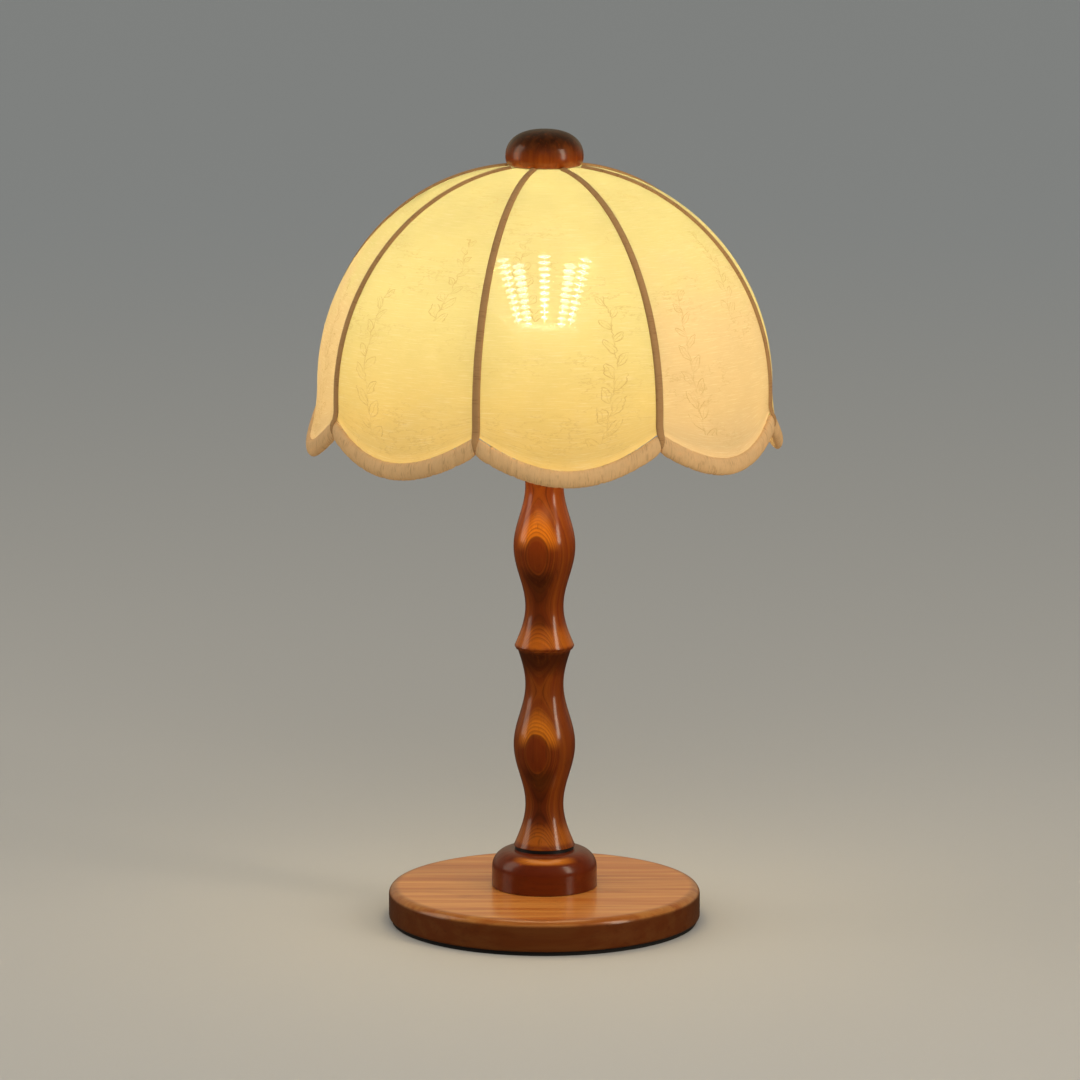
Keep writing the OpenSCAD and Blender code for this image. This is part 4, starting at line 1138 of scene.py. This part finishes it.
class LAMP_OT_fittings(bpy.types.Operator):
    """Finish the brass and steel fittings, the lampholder and the leads"""

    bl_idname = "lamp.fittings"
    bl_label = "Fittings"

    def execute(self, context):
        colours = context.scene.lamp_colours
        brass = worn_metal("brass", colours.brass, rough=0.22, brushed=0.2)
        steel = worn_metal("steel", colours.steel, rough=0.34, brushed=0.4)
        repaint(brass, "vase_cap", "harp_saddle", "harp_wire", "harp_ferrules", "socket_cap",
                "socket_shell", "centre_contact", "finial_insert", "top_plate", "tube_nut")
        repaint(steel, "base_weight", "tube_washer", "block_screw", "threaded_tube", "shade_frame")
        repaint(worn_metal("thread_metal", paint("#C6B98C"), rough=0.3, brushed=0.3), "screw_shell")
        repaint(moulded("socket_black", paint("#1A1714"), scale=0.9, rough=0.4),
                "socket_core", "switch_key")
        repaint(moulded("block_white", paint("#E4DFD2"), scale=0.8, rough=0.45), "terminal_block")
        repaint(moulded("lead_sleeve", paint("#D8D0BC"), scale=1.4, rough=0.55), "inner_leads")
        repaint(moulded("liner_fibre", paint("#6B4A2C"), scale=1.8, rough=0.8, depth=0.08),
                "socket_liner")
        return {"FINISHED"}


class LAMP_OT_stage(bpy.types.Operator):
    """Set the floor, the lights and the camera"""

    bl_idname = "lamp.stage"
    bl_label = "Stage"

    def execute(self, context):
        self.floor(context)
        self.world(context)
        self.softbox("right_softbox", azimuth=57, elevation=20, distance=1.9, size=(0.42, 1.3),
                     power=13.0, tone=(1.0, 0.87, 0.7))
        self.softbox("left_softbox", azimuth=-90, elevation=22, distance=1.9, size=(0.9, 1.6),
                     power=9.0, tone=(1.0, 0.9, 0.76))
        front = self.softbox("front_softbox", azimuth=6, elevation=34, distance=2.6, size=(1.8, 1.2),
                             power=13.0, tone=(1.0, 1.0, 1.0))
        front.visible_glossy = False
        self.bulb_light()
        self.camera(context)
        context.scene.view_settings.view_transform = "Standard"
        return {"FINISHED"}

    def floor(self, context):
        colours = context.scene.lamp_colours
        start()
        bpy.ops.mesh.primitive_circle_add(vertices=128, radius=16.0, fill_type="NGON")
        floor = named("floor")
        finish = Finish("floor_plain")
        _, (x, y, _) = finish.place()
        far = finish.step((x * x + y * y).root(), 600.0, 4200.0)
        base = finish.mix(far, colours.floor, colours.backdrop)
        pale = finish.principled(base_color=base, roughness=0.75, specular_ior_level=0.2)
        behind = finish.node("NewGeometry", out="Backfacing")
        floor.data.materials.append(finish.done(
            finish.shader_mix(behind, pale, finish.node("BsdfTransparent"))))
        floor.visible_glossy = False

    def world(self, context):
        """Even light all round; what gloss mirrors is brightest behind and above the lamp."""
        context.scene.world = bpy.data.worlds.new("studio")
        sky = Finish("studio", context.scene.world)
        _, y, z = sky.parts(sky.node("TexCoord", out="Generated"))
        behind = sky.node("MapRange", None, {"Value": y, "From Min": 0.2, "From Max": 0.8})
        above = sky.node("MapRange", None, {"Value": z, "From Min": -0.1, "From Max": 0.1})
        mirrored = sky.mix(behind * above, (0.05, 0.034, 0.02, 1.0), (0.36, 0.33, 0.23, 1.0))
        glossy = sky.node("LightPath", out="Is Glossy Ray")
        tone = sky.mix(glossy, (0.47, 0.49, 0.5, 1.0), mirrored)
        sky.done(sky.node("Background", None, {"Color": tone}), "OutputWorld")

    def stand(self, data, location, facing=None):
        """Put a light or the camera in the scene."""
        made = bpy.data.objects.new(data.name, data)
        bpy.context.scene.collection.objects.link(made)
        made.location = location
        if facing is not None:
            made.rotation_euler = facing.to_track_quat("-Z", "Y").to_euler()
        return made

    def softbox(self, name, azimuth, elevation, distance, size, power, tone):
        """An upright softbox, with azimuth counted to the right of the camera."""
        light = bpy.data.lights.new(name, "AREA")
        light.shape = "RECTANGLE"
        light.size, light.size_y = size
        light.energy = power
        light.color = tone
        turn, lift = math.radians(azimuth), math.radians(elevation)
        aim = Vector((0, 0, 0.25))
        away = Vector((math.sin(turn) * math.cos(lift), -math.cos(turn) * math.cos(lift), math.sin(lift)))
        return self.stand(light, aim + away * distance, -away)

    def bulb_light(self):
        """Light of the lit bulb, and the pool of light that the shade throws down."""
        low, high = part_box("bulb_globe")
        light = bpy.data.lights.new("bulb_light", "POINT")
        light.energy = 0.68
        light.color = (0.95, 0.9, 0.68)
        light.shadow_soft_size = 0.02
        lamp = self.stand(light, (0, 0, low.z + 0.42 * (high.z - low.z)))
        lamp.visible_camera = False
        lamp.visible_glossy = False
        pool = bpy.data.lights.new("shade_pool", "AREA")
        pool.shape = "DISK"
        pool.size = 0.2
        pool.energy = 0.28
        pool.color = (1.0, 0.8, 0.5)
        self.stand(pool, (0, 0, floor_of("hem_binding_1"))).visible_camera = False

    def camera(self, context):
        """A long lens that looks a little down at the lamp."""
        distance, lift = 3.528, math.radians(9.8)
        target = Vector((-0.0028, 0.0, 0.2452))
        lens = bpy.data.cameras.new("camera")
        lens.lens = 186.67
        lens.sensor_width = 36.0
        lens.clip_end = 100.0
        back = Vector((0.0, -math.cos(lift), math.sin(lift)))
        context.scene.camera = self.stand(lens, target + back * distance, -back)


OPERATORS = [LAMP_OT_base, LAMP_OT_stem, LAMP_OT_finial, LAMP_OT_piping, LAMP_OT_binding,
             LAMP_OT_fabric, LAMP_OT_bulb, LAMP_OT_fittings, LAMP_OT_stage]


class LAMP_PT_pieces(bpy.types.Panel):
    """Pieces of the lamp"""

    bl_idname = "LAMP_PT_pieces"
    bl_label = "Table lamp"
    bl_space_type = "VIEW_3D"
    bl_region_type = "UI"
    bl_category = "Lamp"

    def draw(self, context):
        for operator in OPERATORS:
            self.layout.operator(operator.bl_idname)


GROUPS = {"lamp_wood": WoodSizes, "lamp_shade": ShadeSizes, "lamp_bulb": BulbSizes,
          "lamp_colours": LampColours}
CLASSES = [*GROUPS.values(), *OPERATORS, LAMP_PT_pieces]


def register():
    for each in CLASSES:
        bpy.utils.register_class(each)
    for name, group in GROUPS.items():
        setattr(bpy.types.Scene, name, PointerProperty(type=group))


def unregister():
    for name in GROUPS:
        delattr(bpy.types.Scene, name)
    for each in reversed(CLASSES):
        bpy.utils.unregister_class(each)


def main():
    register()
    bpy.ops.lamp.base()
    bpy.ops.lamp.stem()
    bpy.ops.lamp.finial()
    bpy.ops.lamp.piping()
    bpy.ops.lamp.binding()
    bpy.ops.lamp.fabric()
    bpy.ops.lamp.bulb()
    bpy.ops.lamp.fittings()
    bpy.ops.lamp.stage()


if __name__ == "__main__":
    main()
